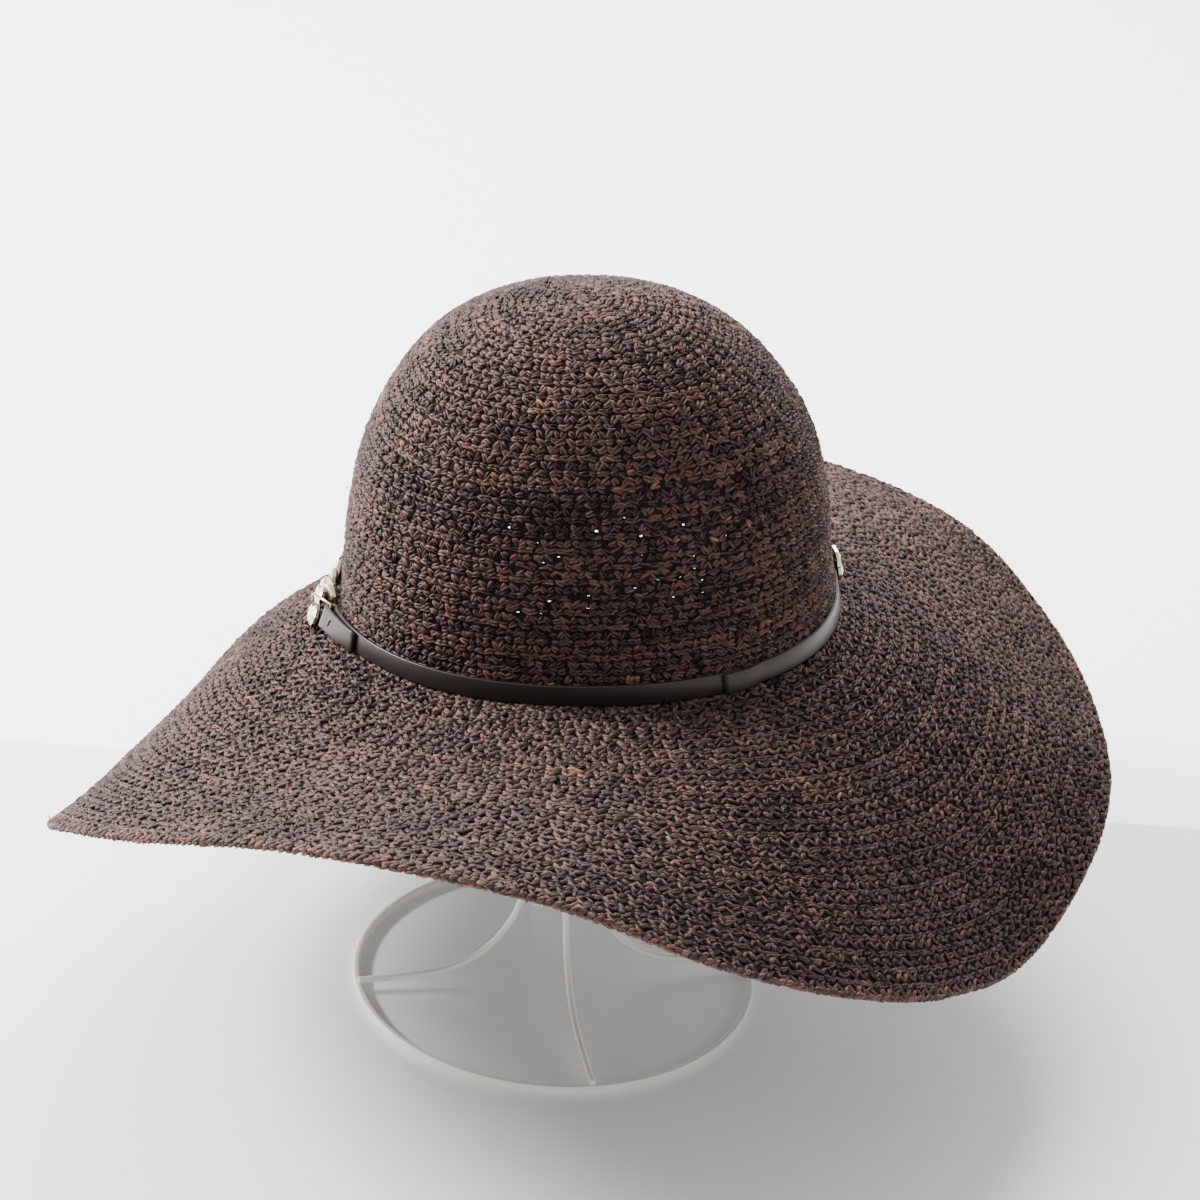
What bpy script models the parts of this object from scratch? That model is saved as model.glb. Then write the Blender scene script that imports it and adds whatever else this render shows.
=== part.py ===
"""Wide-brimmed raffia hat with a leather strap and hammered metal ornaments, on a wire hat stand.

Everything is in metres, +Z up.  X runs across the hat, ear side to ear side of the picture, and Y
runs away from the viewer.  The origin lies on the floor, under the middle of the brim.

The hat is modelled in its own frame, whose XY plane is the line where crown and brim meet.  That
frame is then seated on the stand with a slight tilt.
"""
import math
from collections import namedtuple

import bmesh
import bpy
import numpy as np
from mathutils import Matrix, Vector, noise

MM = 0.001

# Hat sizes
CROWN_LENGTH = 202 * MM
CROWN_WIDTH = 168 * MM
CROWN_HEIGHT = 136 * MM
BRIM_WIDTH = 147 * MM
OVAL_FULLNESS = 2.18
STRAW_WALL = 2.4 * MM
HAT_TILT = math.radians(4.4)
HAT_HEIGHT = 185 * MM
HAT_SHIFT = 4 * MM

# Strap sizes
STRAP_HEIGHT = 8.6 * MM
STRAP_THICKNESS = 1.3 * MM
STRAP_LIFT = 0.4 * MM

# Metal ornament sizes
NUGGET_LENGTH = 14 * MM
NUGGET_HEIGHT = 13 * MM
NUGGET_THICKNESS = 3.4 * MM
BAR_RADIUS = 0.65 * MM
LOOP_SLACK = 0.3 * MM

# Stand sizes
RING_RADIUS = 85 * MM
RING_HEIGHT = 4 * MM
RING_THICKNESS = 2.2 * MM
WIRE_RADIUS = 1.5 * MM
WAIST_RADIUS = 9 * MM
WELD_DEPTH = 0.8 * MM
LEG_TURN = math.radians(13.5)

# Clearance between pieces that touch on the real hat
GAP = 0.3 * MM

# Facets
CROWN_SIDES = 54
CROWN_ROWS_BETWEEN = 2
BRIM_SIDES = 90
STRAP_STEP = 4
LEG_STEPS = 30
RING_SIDES = 72

# Crown sections from the foot to the top.  height is a share of CROWN_HEIGHT, length and width are
# shares of the half length and half width, and lean moves the section along X as a share of the
# half length.
CrownRow = namedtuple("CrownRow", "height length width lean")
CROWN = (
    CrownRow(height=0.000, length=1.000, width=1.000, lean=0.000),
    CrownRow(height=0.180, length=0.974, width=0.990, lean=-0.006),
    CrownRow(height=0.360, length=0.950, width=0.968, lean=0.002),
    CrownRow(height=0.540, length=0.896, width=0.925, lean=0.007),
    CrownRow(height=0.700, length=0.792, width=0.835, lean=0.004),
    CrownRow(height=0.840, length=0.640, width=0.690, lean=-0.004),
    CrownRow(height=0.940, length=0.434, width=0.470, lean=-0.011),
    CrownRow(height=0.988, length=0.212, width=0.225, lean=-0.015),
    CrownRow(height=1.000, length=0.000, width=0.000, lean=-0.015),
)

# Brim folds round the hat.  angle is in degrees round the crown from +X, width is a share of
# BRIM_WIDTH, and the slopes are the sheet's droop in degrees beside the crown, at the middle of
# its width and at its edge.
BrimRow = namedtuple("BrimRow", "angle width slope_in slope_mid slope_out")
BRIM = (
    BrimRow(angle=-180, width=0.95, slope_in=14, slope_mid=49, slope_out=56),
    BrimRow(angle=-165, width=0.95, slope_in=9, slope_mid=33, slope_out=47),
    BrimRow(angle=-150, width=0.97, slope_in=8, slope_mid=14, slope_out=18),
    BrimRow(angle=-135, width=0.97, slope_in=6, slope_mid=3, slope_out=0),
    BrimRow(angle=-120, width=0.97, slope_in=2, slope_mid=-4, slope_out=-10),
    BrimRow(angle=-105, width=0.98, slope_in=0, slope_mid=-5, slope_out=-10),
    BrimRow(angle=-90, width=0.98, slope_in=0, slope_mid=0, slope_out=-1),
    BrimRow(angle=-75, width=1.00, slope_in=5, slope_mid=11, slope_out=17),
    BrimRow(angle=-60, width=1.00, slope_in=12, slope_mid=24, slope_out=36),
    BrimRow(angle=-45, width=1.00, slope_in=20, slope_mid=38, slope_out=55),
    BrimRow(angle=-30, width=1.03, slope_in=26, slope_mid=46, slope_out=65),
    BrimRow(angle=-15, width=1.01, slope_in=28, slope_mid=44, slope_out=59),
    BrimRow(angle=0, width=1.00, slope_in=27, slope_mid=38, slope_out=49),
    BrimRow(angle=15, width=1.00, slope_in=25, slope_mid=34, slope_out=43),
    BrimRow(angle=30, width=1.00, slope_in=20, slope_mid=28, slope_out=35),
    BrimRow(angle=45, width=1.00, slope_in=14, slope_mid=20, slope_out=25),
    BrimRow(angle=60, width=1.00, slope_in=11, slope_mid=16, slope_out=20),
    BrimRow(angle=75, width=1.00, slope_in=10, slope_mid=14, slope_out=18),
    BrimRow(angle=90, width=1.00, slope_in=12, slope_mid=17, slope_out=22),
    BrimRow(angle=105, width=1.00, slope_in=16, slope_mid=24, slope_out=32),
    BrimRow(angle=120, width=1.00, slope_in=20, slope_mid=36, slope_out=46),
    BrimRow(angle=135, width=1.00, slope_in=30, slope_mid=50, slope_out=60),
    BrimRow(angle=150, width=0.99, slope_in=28, slope_mid=62, slope_out=70),
    BrimRow(angle=165, width=0.96, slope_in=18, slope_mid=57, slope_out=68),
)

# Shares of the brim's width at which its rows lie
BRIM_STEPS = (0.0, 0.06, 0.16, 0.28, 0.42, 0.56, 0.70, 0.85, 1.0)

# Legs from the weld on the ring to the waist.  reach is a share of the way from the waist to the
# ring, and height a share of the way from the weld to the stand's top.
LegRow = namedtuple("LegRow", "reach height")
LEG = (
    LegRow(reach=1.00, height=0.000),
    LegRow(reach=0.87, height=0.001),
    LegRow(reach=0.70, height=0.003),
    LegRow(reach=0.50, height=0.010),
    LegRow(reach=0.33, height=0.030),
    LegRow(reach=0.20, height=0.062),
    LegRow(reach=0.10, height=0.112),
    LegRow(reach=0.03, height=0.210),
    LegRow(reach=0.00, height=0.340),
    LegRow(reach=0.02, height=0.440),
)

# Head form from above the waist to the top.  reach is a share of the crown's inner half width, and
# height as above.
CAGE = (
    LegRow(reach=0.17, height=0.515),
    LegRow(reach=0.38, height=0.605),
    LegRow(reach=0.60, height=0.700),
    LegRow(reach=0.70, height=0.790),
    LegRow(reach=0.68, height=0.880),
    LegRow(reach=0.52, height=0.955),
    LegRow(reach=0.26, height=0.992),
    LegRow(reach=0.00, height=1.000),
)

# Ends of the strap pieces, in degrees round the crown from +X
LEFT_END = -168
LEFT_TAIL = -152
SEAM = -59
SEAM_LAP = 5
LAP_EASE = 6
BACK_END = 162
BACK_TAIL = 150

# How far the strap stands off the crown round the hat.  foot is the distance at its lower edge and
# lean how much closer its upper edge comes, both as shares of the strap's height.
StandOff = namedtuple("StandOff", "angle foot lean")
STAND_OFF = (
    StandOff(angle=-168, foot=0.62, lean=0.30),
    StandOff(angle=-160, foot=0.38, lean=0.20),
    StandOff(angle=-152, foot=0.14, lean=0.06),
    StandOff(angle=-144, foot=0.03, lean=0.00),
    StandOff(angle=-135, foot=0.00, lean=0.00),
    StandOff(angle=-10, foot=0.00, lean=0.00),
    StandOff(angle=60, foot=0.00, lean=0.00),
    StandOff(angle=140, foot=0.00, lean=0.00),
    StandOff(angle=150, foot=0.08, lean=0.00),
    StandOff(angle=162, foot=0.20, lean=0.00),
    StandOff(angle=177, foot=0.55, lean=0.20),
)

# Middles of the two ornaments, in degrees round the crown from +X
LEFT_MIDDLE = 180
RIGHT_MIDDLE = 15

# Nuggets of the two ornaments.  along is the distance from the ornament's middle round the crown,
# as a share of NUGGET_LENGTH, out and up place the nugget's middle as shares of the strap's height,
# length and height are shares of the nugget sizes, tip leans the nugget's top towards the crown and
# turn swings its face towards the front, both in degrees.
Nugget = namedtuple("Nugget", "along out up length height tip turn")
LEFT_NUGGETS = (
    Nugget(along=0.96, out=1.36, up=0.10, length=0.95, height=0.84, tip=24, turn=4),
    Nugget(along=0.12, out=1.12, up=0.46, length=0.85, height=0.80, tip=24, turn=8),
    Nugget(along=0.28, out=0.66, up=0.66, length=0.90, height=1.10, tip=6, turn=26),
    Nugget(along=-0.71, out=0.66, up=0.56, length=0.90, height=0.85, tip=10, turn=10),
    Nugget(along=-1.58, out=0.60, up=0.52, length=0.90, height=0.90, tip=8, turn=6),
)
RIGHT_NUGGETS = (
    Nugget(along=0.00, out=0.43, up=0.86, length=1.00, height=0.95, tip=2, turn=0),
    Nugget(along=-0.16, out=0.43, up=0.44, length=0.70, height=0.70, tip=2, turn=0),
)


def smooth_read(keys, values, at):
    """Read a smooth curve through (keys, values) at the places `at`; the keys rise."""
    keys = np.asarray(keys, dtype=float)
    values = np.asarray(values, dtype=float)
    at = np.asarray(at, dtype=float)
    tangents = np.gradient(values, keys, axis=0)
    low = np.clip(np.searchsorted(keys, at, side="right") - 1, 0, len(keys) - 2)
    step = keys[low + 1] - keys[low]
    t = (at - keys[low]) / step
    if values.ndim == 2:
        step = step[..., None]
        t = t[..., None]
    start = values[low] * (2 * t**3 - 3 * t**2 + 1)
    end = values[low + 1] * (3 * t**2 - 2 * t**3)
    leave = tangents[low] * step * (t**3 - 2 * t**2 + t)
    arrive = tangents[low + 1] * step * (t**3 - t**2)
    return start + leave + end + arrive


def round_read(rows, degrees):
    """Read a table whose first column is an angle, as a closed smooth curve round the hat."""
    table = np.array(rows, dtype=float)
    before = table[-2:] - np.array([360.0] + [0.0] * (table.shape[1] - 1))
    after = table[:2] + np.array([360.0] + [0.0] * (table.shape[1] - 1))
    table = np.vstack([before, table, after])
    wrapped = (np.asarray(degrees, dtype=float) - table[2, 0]) % 360.0 + table[2, 0]
    return smooth_read(table[:, 0], table[:, 1:], wrapped)


def crown_curve():
    """Crown sections in metres, resampled smoothly: height, half length, half width, lean."""
    shares = np.array(CROWN, dtype=float)
    scale = np.array([CROWN_HEIGHT, CROWN_LENGTH / 2, CROWN_WIDTH / 2, CROWN_LENGTH / 2])
    mirrored = shares[-2] * np.array([1, -1, -1, 1])
    padded = np.vstack([shares, mirrored])
    places = np.linspace(0, len(CROWN) - 1, (len(CROWN) - 1) * CROWN_ROWS_BETWEEN + 1)
    return smooth_read(np.arange(len(padded)), padded, places) * scale


def oval(angles):
    """Plan of the crown on a unit oval, a little fuller than an ellipse."""
    cosines = np.cos(angles)
    sines = np.sin(angles)
    power = 2 / OVAL_FULLNESS
    return np.sign(cosines) * np.abs(cosines) ** power, np.sign(sines) * np.abs(sines) ** power


def crown_outline(angle, height):
    """Point of the crown's outside and its level normal, in the hat's frame."""
    curve = crown_curve()
    half_length = np.interp(height, curve[:, 0], curve[:, 1])
    half_width = np.interp(height, curve[:, 0], curve[:, 2])
    lean = np.interp(height, curve[:, 0], curve[:, 3])
    along, across = oval(angle)
    point = np.array([lean + half_length * along, half_width * across, height])
    power = OVAL_FULLNESS - 1
    normal = np.array([np.sign(along) * abs(along) ** power / half_length,
                       np.sign(across) * abs(across) ** power / half_width, 0.0])
    return point, normal / np.linalg.norm(normal)


def band_point(angle, out, height):
    """Point beside the crown at a height over its foot, `out` metres off the straw."""
    point, normal = crown_outline(angle, height)
    return point + normal * out


def grid_mesh(name, rows, closed, pole=False):
    """Loft a sheet through rows of points; the last row may be one pole point."""
    mesh = bpy.data.meshes.new(name)
    build = bmesh.new()
    grid = [[build.verts.new(point) for point in row] for row in rows]
    for below, above in zip(grid[:-1], grid[1:]):
        count = len(below)
        last = count if closed else count - 1
        for i in range(last):
            j = (i + 1) % count
            if pole and len(above) == 1:
                build.faces.new((below[i], below[j], above[0]))
            else:
                build.faces.new((below[i], below[j], above[j], above[i]))
    build.to_mesh(mesh)
    build.free()
    return mesh


def material(name, colour, roughness, metallic=0.0):
    """Principled material in the piece's own colour."""
    made = bpy.data.materials.new(name)
    made.use_nodes = True
    shader = made.node_tree.nodes["Principled BSDF"]
    shader.inputs["Base Color"].default_value = (*colour, 1.0)
    shader.inputs["Roughness"].default_value = roughness
    shader.inputs["Metallic"].default_value = metallic
    made.diffuse_color = (*colour, 1.0)
    return made


def add_object(name, mesh, collection, finish, parent):
    """Put a mesh in the scene under its parent, with its material and smooth shading."""
    mesh.materials.append(finish)
    mesh.shade_smooth()
    made = bpy.data.objects.new(name, mesh)
    collection.objects.link(made)
    made.parent = parent
    return made


def give_wall(piece, thickness, offset):
    """Give an open sheet its wall."""
    wall = piece.modifiers.new("wall", "SOLIDIFY")
    wall.thickness = thickness
    wall.offset = offset
    wall.use_even_offset = True
    wall.use_rim = True


def build_crown(collection, finish, parent):
    """Round crown, a hollow dome open at its foot."""
    rows = []
    turns = np.linspace(0, 2 * math.pi, CROWN_SIDES, endpoint=False)
    for height, half_length, half_width, lean in crown_curve()[:-1]:
        rows.append([(lean + half_length * x, half_width * y, height) for x, y in zip(*oval(turns))])
    height, _, _, lean = crown_curve()[-1]
    rows.append([(lean, 0.0, height)])
    crown = add_object("crown", grid_mesh("crown", rows, closed=True, pole=True), collection, finish, parent)
    give_wall(crown, STRAW_WALL, offset=-1)
    return crown


def brim_line(degrees):
    """Points of the brim's upper side in one direction, from under the crown to the edge."""
    angle = math.radians(degrees)
    width, slope_in, slope_mid, slope_out = round_read(BRIM, degrees)
    foot, normal = crown_outline(angle, 0.0)
    foot[2] = -2 * GAP
    points = [foot - normal * STRAW_WALL]
    fine = np.linspace(0, 1, 61)
    slope = np.radians(np.interp(fine, (0.0, 0.5, 1.0), (slope_in, slope_mid, slope_out)))
    run = np.concatenate([[0], np.cumsum((np.cos(slope[1:]) + np.cos(slope[:-1])) / 2)]) / 60
    drop = np.concatenate([[0], np.cumsum((np.sin(slope[1:]) + np.sin(slope[:-1])) / 2)]) / 60
    reach = width * BRIM_WIDTH
    for share in BRIM_STEPS:
        out = np.interp(share, fine, run) * reach
        down = np.interp(share, fine, drop) * reach
        points.append(foot + normal * out - np.array([0, 0, down]))
    return np.array(points)


def brim_rows():
    """Rows of the brim's upper side, from the inner row to the edge row."""
    lines = [brim_line(-180 + 360 * i / BRIM_SIDES) for i in range(BRIM_SIDES)]
    return np.array(lines).transpose(1, 0, 2)


def build_brim(collection, finish, parent):
    """Wide brim that droops at both sides and waves at the front, with the head hole in it."""
    rows = brim_rows()[::-1]
    brim = add_object("brim", grid_mesh("brim", rows, closed=True), collection, finish, parent)
    give_wall(brim, STRAW_WALL, offset=-1)
    return brim


def loop_radius():
    """Radius of the leather's middle where it turns round an ornament's bar."""
    return BAR_RADIUS + GAP + LOOP_SLACK + STRAP_THICKNESS / 2


def strap_clearance():
    """Distance from the straw to the middle of the leather where the strap lies on the crown."""
    return GAP + STRAP_THICKNESS / 2


def stand_off(degrees):
    """Distance from the straw to the middle of the innermost leather at its lower edge."""
    foot = float(round_read(STAND_OFF, degrees)[0])
    return strap_clearance() + max(foot, 0.0) * STRAP_HEIGHT


def strap_lean(degrees):
    """How much closer to the straw the strap's upper edge comes at an angle."""
    return max(float(round_read(STAND_OFF, degrees)[1]), 0.0) * STRAP_HEIGHT


def lap_rise(degrees):
    """Extra distance off the straw of the strap piece that lies over the other at the seam."""
    past = (degrees - SEAM - SEAM_LAP - 1) / LAP_EASE
    ease = min(max(past, 0.0), 1.0)
    return (STRAP_THICKNESS + GAP) * (1 - ease * ease * (3 - 2 * ease))


def degrees_per_metre(degrees):
    """Turn round the crown that one metre along the strap makes."""
    step = 0.5
    here = band_point(math.radians(degrees), 0.0, 0.0)
    there = band_point(math.radians(degrees + step), 0.0, 0.0)
    return step / np.linalg.norm(there - here)


def plain_run(start, end):
    """Strap path between two angles, as pairs of angle and distance off the straw."""
    count = max(2, int(round(abs(end - start) / STRAP_STEP)) + 1)
    return [(d, stand_off(d)) for d in np.linspace(start, end, count)]


def turned_end(end, way, tail_end):
    """Strap end that turns back round a bar at `end` and lies on itself as far as `tail_end`.

    way is 1 where the strap arrives with rising angle and -1 where it arrives with falling angle.
    """
    radius = loop_radius()
    rate = degrees_per_metre(end)
    base = stand_off(end)
    path = []
    for turn in np.linspace(0, math.pi, 7):
        path.append((end + way * radius * math.sin(turn) * rate, base + radius * (1 - math.cos(turn))))
    layer = STRAP_THICKNESS + GAP
    for share in np.linspace(0.25, 1.0, 4):
        degrees = end + (tail_end - end) * share
        ease = share**0.5
        path.append((degrees, stand_off(degrees) + 2 * radius * (1 - ease) + layer * ease))
    return path


def build_strap(name, path, collection, finish, parent):
    """Leather strap standing on its edge along a path beside the crown."""
    rows = []
    for share in (0.0, 0.5, 1.0):
        height = STRAP_LIFT + share * STRAP_HEIGHT
        rows.append([band_point(math.radians(d), out - share * strap_lean(d), height) for d, out in path])
    strap = add_object(name, grid_mesh(name, rows, closed=False), collection, finish, parent)
    give_wall(strap, STRAP_THICKNESS, offset=0)
    return strap


def nugget_angle(nugget, middle):
    """Angle of a nugget round the crown, in radians."""
    return math.radians(middle + nugget.along * NUGGET_LENGTH * degrees_per_metre(middle))


def nugget_middle(nugget, middle):
    """Middle of a nugget in the hat's frame."""
    return band_point(nugget_angle(nugget, middle), nugget.out * STRAP_HEIGHT, nugget.up * STRAP_HEIGHT)


def nugget_mesh(nugget, middle, seed):
    """One hammered nugget: a flat faceted pebble beside the crown."""
    build = bmesh.new()
    bmesh.ops.create_icosphere(build, subdivisions=2, radius=1.0)
    for vert in build.verts:
        push = 0.86 + 0.22 * noise.noise(vert.co * 1.7 + Vector((seed, 2.0 * seed, 0.0)))
        vert.co = vert.co * push
    length = nugget.length * NUGGET_LENGTH / 2
    height = nugget.height * NUGGET_HEIGHT / 2
    size = Matrix.Diagonal((length, NUGGET_THICKNESS / 2, height, 1.0))
    centre = nugget_middle(nugget, middle)
    _, normal = crown_outline(nugget_angle(nugget, middle), 0.0)
    facing = math.atan2(normal[1], normal[0]) - math.pi / 2 + math.radians(nugget.turn)
    tip = Matrix.Rotation(math.radians(nugget.tip), 4, "X")
    place = Matrix.Translation(Vector(centre)) @ Matrix.Rotation(facing, 4, "Z") @ tip @ size
    build.transform(place)
    mesh = bpy.data.meshes.new("nugget")
    build.to_mesh(mesh)
    build.free()
    return mesh


def hook_route(degrees):
    """Upright bar inside a strap end and the bend over the strap's upper edge."""
    out = stand_off(degrees) + loop_radius()
    low = STRAP_LIFT + BAR_RADIUS
    high = STRAP_LIFT + STRAP_HEIGHT + GAP + BAR_RADIUS
    angle = math.radians(degrees)
    return [band_point(angle, out, low), band_point(angle, out - strap_lean(degrees), high)]


def link_route(nuggets, middle, ends):
    """Solder wire through the middles of the nuggets, with a hook for the strap at each end."""
    route = [nugget_middle(nugget, middle) for nugget in nuggets]
    if ends:
        first, last = (hook_route(degrees) for degrees in ends)
        up = np.array([0.0, 0.0, 1.0])
        first.append(route[0] + up * (first[1] - route[0]))
        last.append(route[-1] + up * (last[1] - route[-1]))
        route = first + route + last[::-1]
    return route


def add_cutter(name, mesh, cutters, parent):
    """Helper solid that a Boolean reads; it isn't part of the model."""
    made = bpy.data.objects.new(name, mesh)
    cutters.objects.link(made)
    made.parent = parent
    made.display_type = "WIRE"
    made.hide_render = True
    return made


def unite(piece, helper):
    """Weld a helper solid onto a piece."""
    weld = piece.modifiers.new("weld", "BOOLEAN")
    weld.operation = "UNION"
    weld.solver = "EXACT"
    weld.object = helper


def wire_mesh(name, route, radius, collection):
    """Round wire along a route, as one closed mesh."""
    curve = bpy.data.curves.new(name, "CURVE")
    curve.dimensions = "3D"
    curve.bevel_depth = radius
    curve.bevel_resolution = 2
    curve.use_fill_caps = True
    spline = curve.splines.new("POLY")
    spline.points.add(len(route) - 1)
    for point, place in zip(spline.points, route):
        point.co = (*place, 1.0)
    wire = bpy.data.objects.new(name, curve)
    collection.objects.link(wire)
    bpy.context.view_layer.update()
    graph = bpy.context.evaluated_depsgraph_get()
    mesh = bpy.data.meshes.new_from_object(wire.evaluated_get(graph))
    mesh.name = name
    bpy.data.objects.remove(wire)
    weld = bmesh.new()
    weld.from_mesh(mesh)
    bmesh.ops.remove_doubles(weld, verts=weld.verts, dist=0.00001)
    weld.to_mesh(mesh)
    weld.free()
    return mesh


def build_ornament(name, nuggets, middle, ends, collection, cutters, finish, parent):
    """Ornament of hammered nuggets soldered together, with hooks for the strap ends at `ends`."""
    ornament = add_object(name, nugget_mesh(nuggets[0], middle, 0), collection, finish, parent)
    for index, nugget in enumerate(nuggets[1:], start=1):
        helper = add_cutter(f"{name}_nugget_{index}", nugget_mesh(nugget, middle, index), cutters, parent)
        unite(ornament, helper)
    link = wire_mesh(f"{name}_link", link_route(nuggets, middle, ends), BAR_RADIUS, collection)
    unite(ornament, add_cutter(link.name, link, cutters, parent))
    return ornament


def leg_path(stand_height):
    """Reach and height of one leg, from the ring to the top of the head form."""
    inner_half = CROWN_WIDTH / 2 - STRAW_WALL
    rows = [(WAIST_RADIUS + row.reach * (RING_RADIUS - WAIST_RADIUS), row.height) for row in LEG]
    rows += [(row.reach * inner_half, row.height) for row in CAGE]
    weld = RING_HEIGHT + WIRE_RADIUS - WELD_DEPTH
    table = np.array(rows) * np.array([1.0, stand_height - weld]) + np.array([0.0, weld])
    mirrored = table[-2] * np.array([-1, 1])
    padded = np.vstack([table, mirrored])
    return smooth_read(np.arange(len(padded)), padded, np.linspace(0, len(table) - 1, LEG_STEPS + 1))


def hat_matrix():
    """The hat's seat on the stand: raised, shifted a little and tilted about Y."""
    place = Matrix.Translation((HAT_SHIFT, 0.0, HAT_HEIGHT))
    return place @ Matrix.Rotation(-HAT_TILT, 4, "Y")


def to_floor(points):
    """Take points from the hat's frame to the stand's frame."""
    turn = np.array(hat_matrix().to_3x3())
    move = np.array(hat_matrix().translation)
    return np.asarray(points) @ turn.T + move


def inside_of_crown():
    """Points of the crown's inner side and their outward normals, in the stand's frame."""
    curve = crown_curve()
    fine = smooth_read(np.arange(len(curve)), curve, np.linspace(0, len(curve) - 1.02, 80))
    turns = np.linspace(0, 2 * math.pi, 120, endpoint=False)
    heights, lengths, widths, leans = (fine[:, i:i + 1] for i in range(4))
    x, y = oval(turns)
    points = np.stack([leans + lengths * x, widths * y, heights + 0 * turns], axis=-1)
    along = np.gradient(points, axis=0)
    around = np.roll(points, -1, axis=1) - np.roll(points, 1, axis=1)
    normals = np.cross(around, along)
    normals /= np.linalg.norm(normals, axis=-1, keepdims=True)
    inner = points - normals * STRAW_WALL
    turn = np.array(hat_matrix().to_3x3())
    return to_floor(inner.reshape(-1, 3)), normals.reshape(-1, 3) @ turn.T


def leg_points(stand_height, number):
    """Middle line of one leg in the stand's frame."""
    angle = LEG_TURN + number * math.pi / 2
    return [(r * math.cos(angle), r * math.sin(angle), z) for r, z in leg_path(stand_height)]


def stand_top():
    """Height of the wires' middle line at the top, where they just carry the crown."""
    surface, normals = inside_of_crown()
    low = HAT_HEIGHT
    high = HAT_HEIGHT + CROWN_HEIGHT
    for _ in range(24):
        middle = (low + high) / 2
        wires = np.array([p for number in range(4) for p in leg_points(middle, number) if p[2] > HAT_HEIGHT])
        offsets = surface[None, :, :] - wires[:, None, :]
        nearest = np.argmin((offsets**2).sum(-1), axis=1)
        depth = (offsets[np.arange(len(wires)), nearest] * normals[nearest]).sum(-1).min()
        if depth > WIRE_RADIUS + GAP:
            low = middle
        else:
            high = middle
    return low


def build_stand(collection, cutters, finish, parent):
    """Wire hat stand: a flat strip ring with two arched wires welded to it."""
    half = RING_THICKNESS / 2
    profile = bmesh.new()
    corners = ((RING_RADIUS + half, RING_HEIGHT), (RING_RADIUS + half, 0.0),
               (RING_RADIUS - half, 0.0), (RING_RADIUS - half, RING_HEIGHT))
    verts = [profile.verts.new((x, 0.0, z)) for x, z in corners]
    for first, second in zip(verts, verts[1:] + verts[:1]):
        profile.edges.new((first, second))
    mesh = bpy.data.meshes.new("wire_stand")
    profile.to_mesh(mesh)
    profile.free()
    stand = add_object("wire_stand", mesh, collection, finish, parent)
    turn = stand.modifiers.new("ring", "SCREW")
    turn.steps = RING_SIDES
    turn.render_steps = RING_SIDES
    turn.use_merge_vertices = True
    turn.merge_threshold = 0.0001
    top = stand_top()
    for number in range(2):
        route = leg_points(top, number) + leg_points(top, number + 2)[-2::-1]
        mesh = wire_mesh(f"arch_{number}", route, WIRE_RADIUS, collection)
        unite(stand, add_cutter(mesh.name, mesh, cutters, parent))
    return stand


def middle_of_brim():
    """Middle of the hat's box on the floor, in the stand's frame."""
    points = to_floor(brim_rows().reshape(-1, 3))
    return (points.min(axis=0) + points.max(axis=0)) / 2


def main():
    """Build the hat and its stand."""
    for existing in list(bpy.data.objects):
        bpy.data.objects.remove(existing)
    model = bpy.data.collections.new("raffia_hat_on_stand")
    cutters = bpy.data.collections.new("cutters")
    bpy.context.scene.collection.children.link(model)
    bpy.context.scene.collection.children.link(cutters)

    straw = material("dark_raffia", (0.060, 0.036, 0.032), 0.55)
    leather = material("strap_leather", (0.030, 0.026, 0.024), 0.50)
    metal = material("pale_gold_metal", (0.74, 0.66, 0.50), 0.28, metallic=1.0)
    paint = material("cream_paint", (0.78, 0.77, 0.72), 0.35)

    middle = middle_of_brim()
    floor_point = bpy.data.objects.new("floor_point", None)
    floor_point.location = (-middle[0], -middle[1], 0.0)
    model.objects.link(floor_point)
    hat_seat = bpy.data.objects.new("hat_seat", None)
    hat_seat.parent = floor_point
    hat_seat.location = (HAT_SHIFT, 0.0, HAT_HEIGHT)
    hat_seat.rotation_euler = (0.0, -HAT_TILT, 0.0)
    model.objects.link(hat_seat)

    build_crown(model, straw, hat_seat)
    build_brim(model, straw, hat_seat)

    front = turned_end(LEFT_END, -1, LEFT_TAIL)[::-1] + plain_run(LEFT_END, SEAM + SEAM_LAP)[1:]
    back = [(d, out + lap_rise(d)) for d, out in plain_run(SEAM, BACK_END)]
    back += turned_end(BACK_END, 1, BACK_TAIL)[1:]
    build_strap("strap_front", front, model, leather, hat_seat)
    build_strap("strap_back", back, model, leather, hat_seat)
    hooks = (LEFT_END, BACK_END)
    build_ornament("ornament_left", LEFT_NUGGETS, LEFT_MIDDLE, hooks, model, cutters, metal, hat_seat)
    build_ornament("ornament_right", RIGHT_NUGGETS, RIGHT_MIDDLE, (), model, cutters, metal, hat_seat)
    build_stand(model, cutters, paint, floor_point)


main()
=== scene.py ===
"""Looks of the raffia hat on its wire stand: crochet, strap, nuggets, painted wire, floor and light."""

import logging
import math
from collections.abc import Callable, Sequence
from dataclasses import dataclass
from enum import Enum
from typing import NamedTuple

import bmesh
import bpy
import numpy as np
from mathutils import Matrix, Vector


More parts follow.
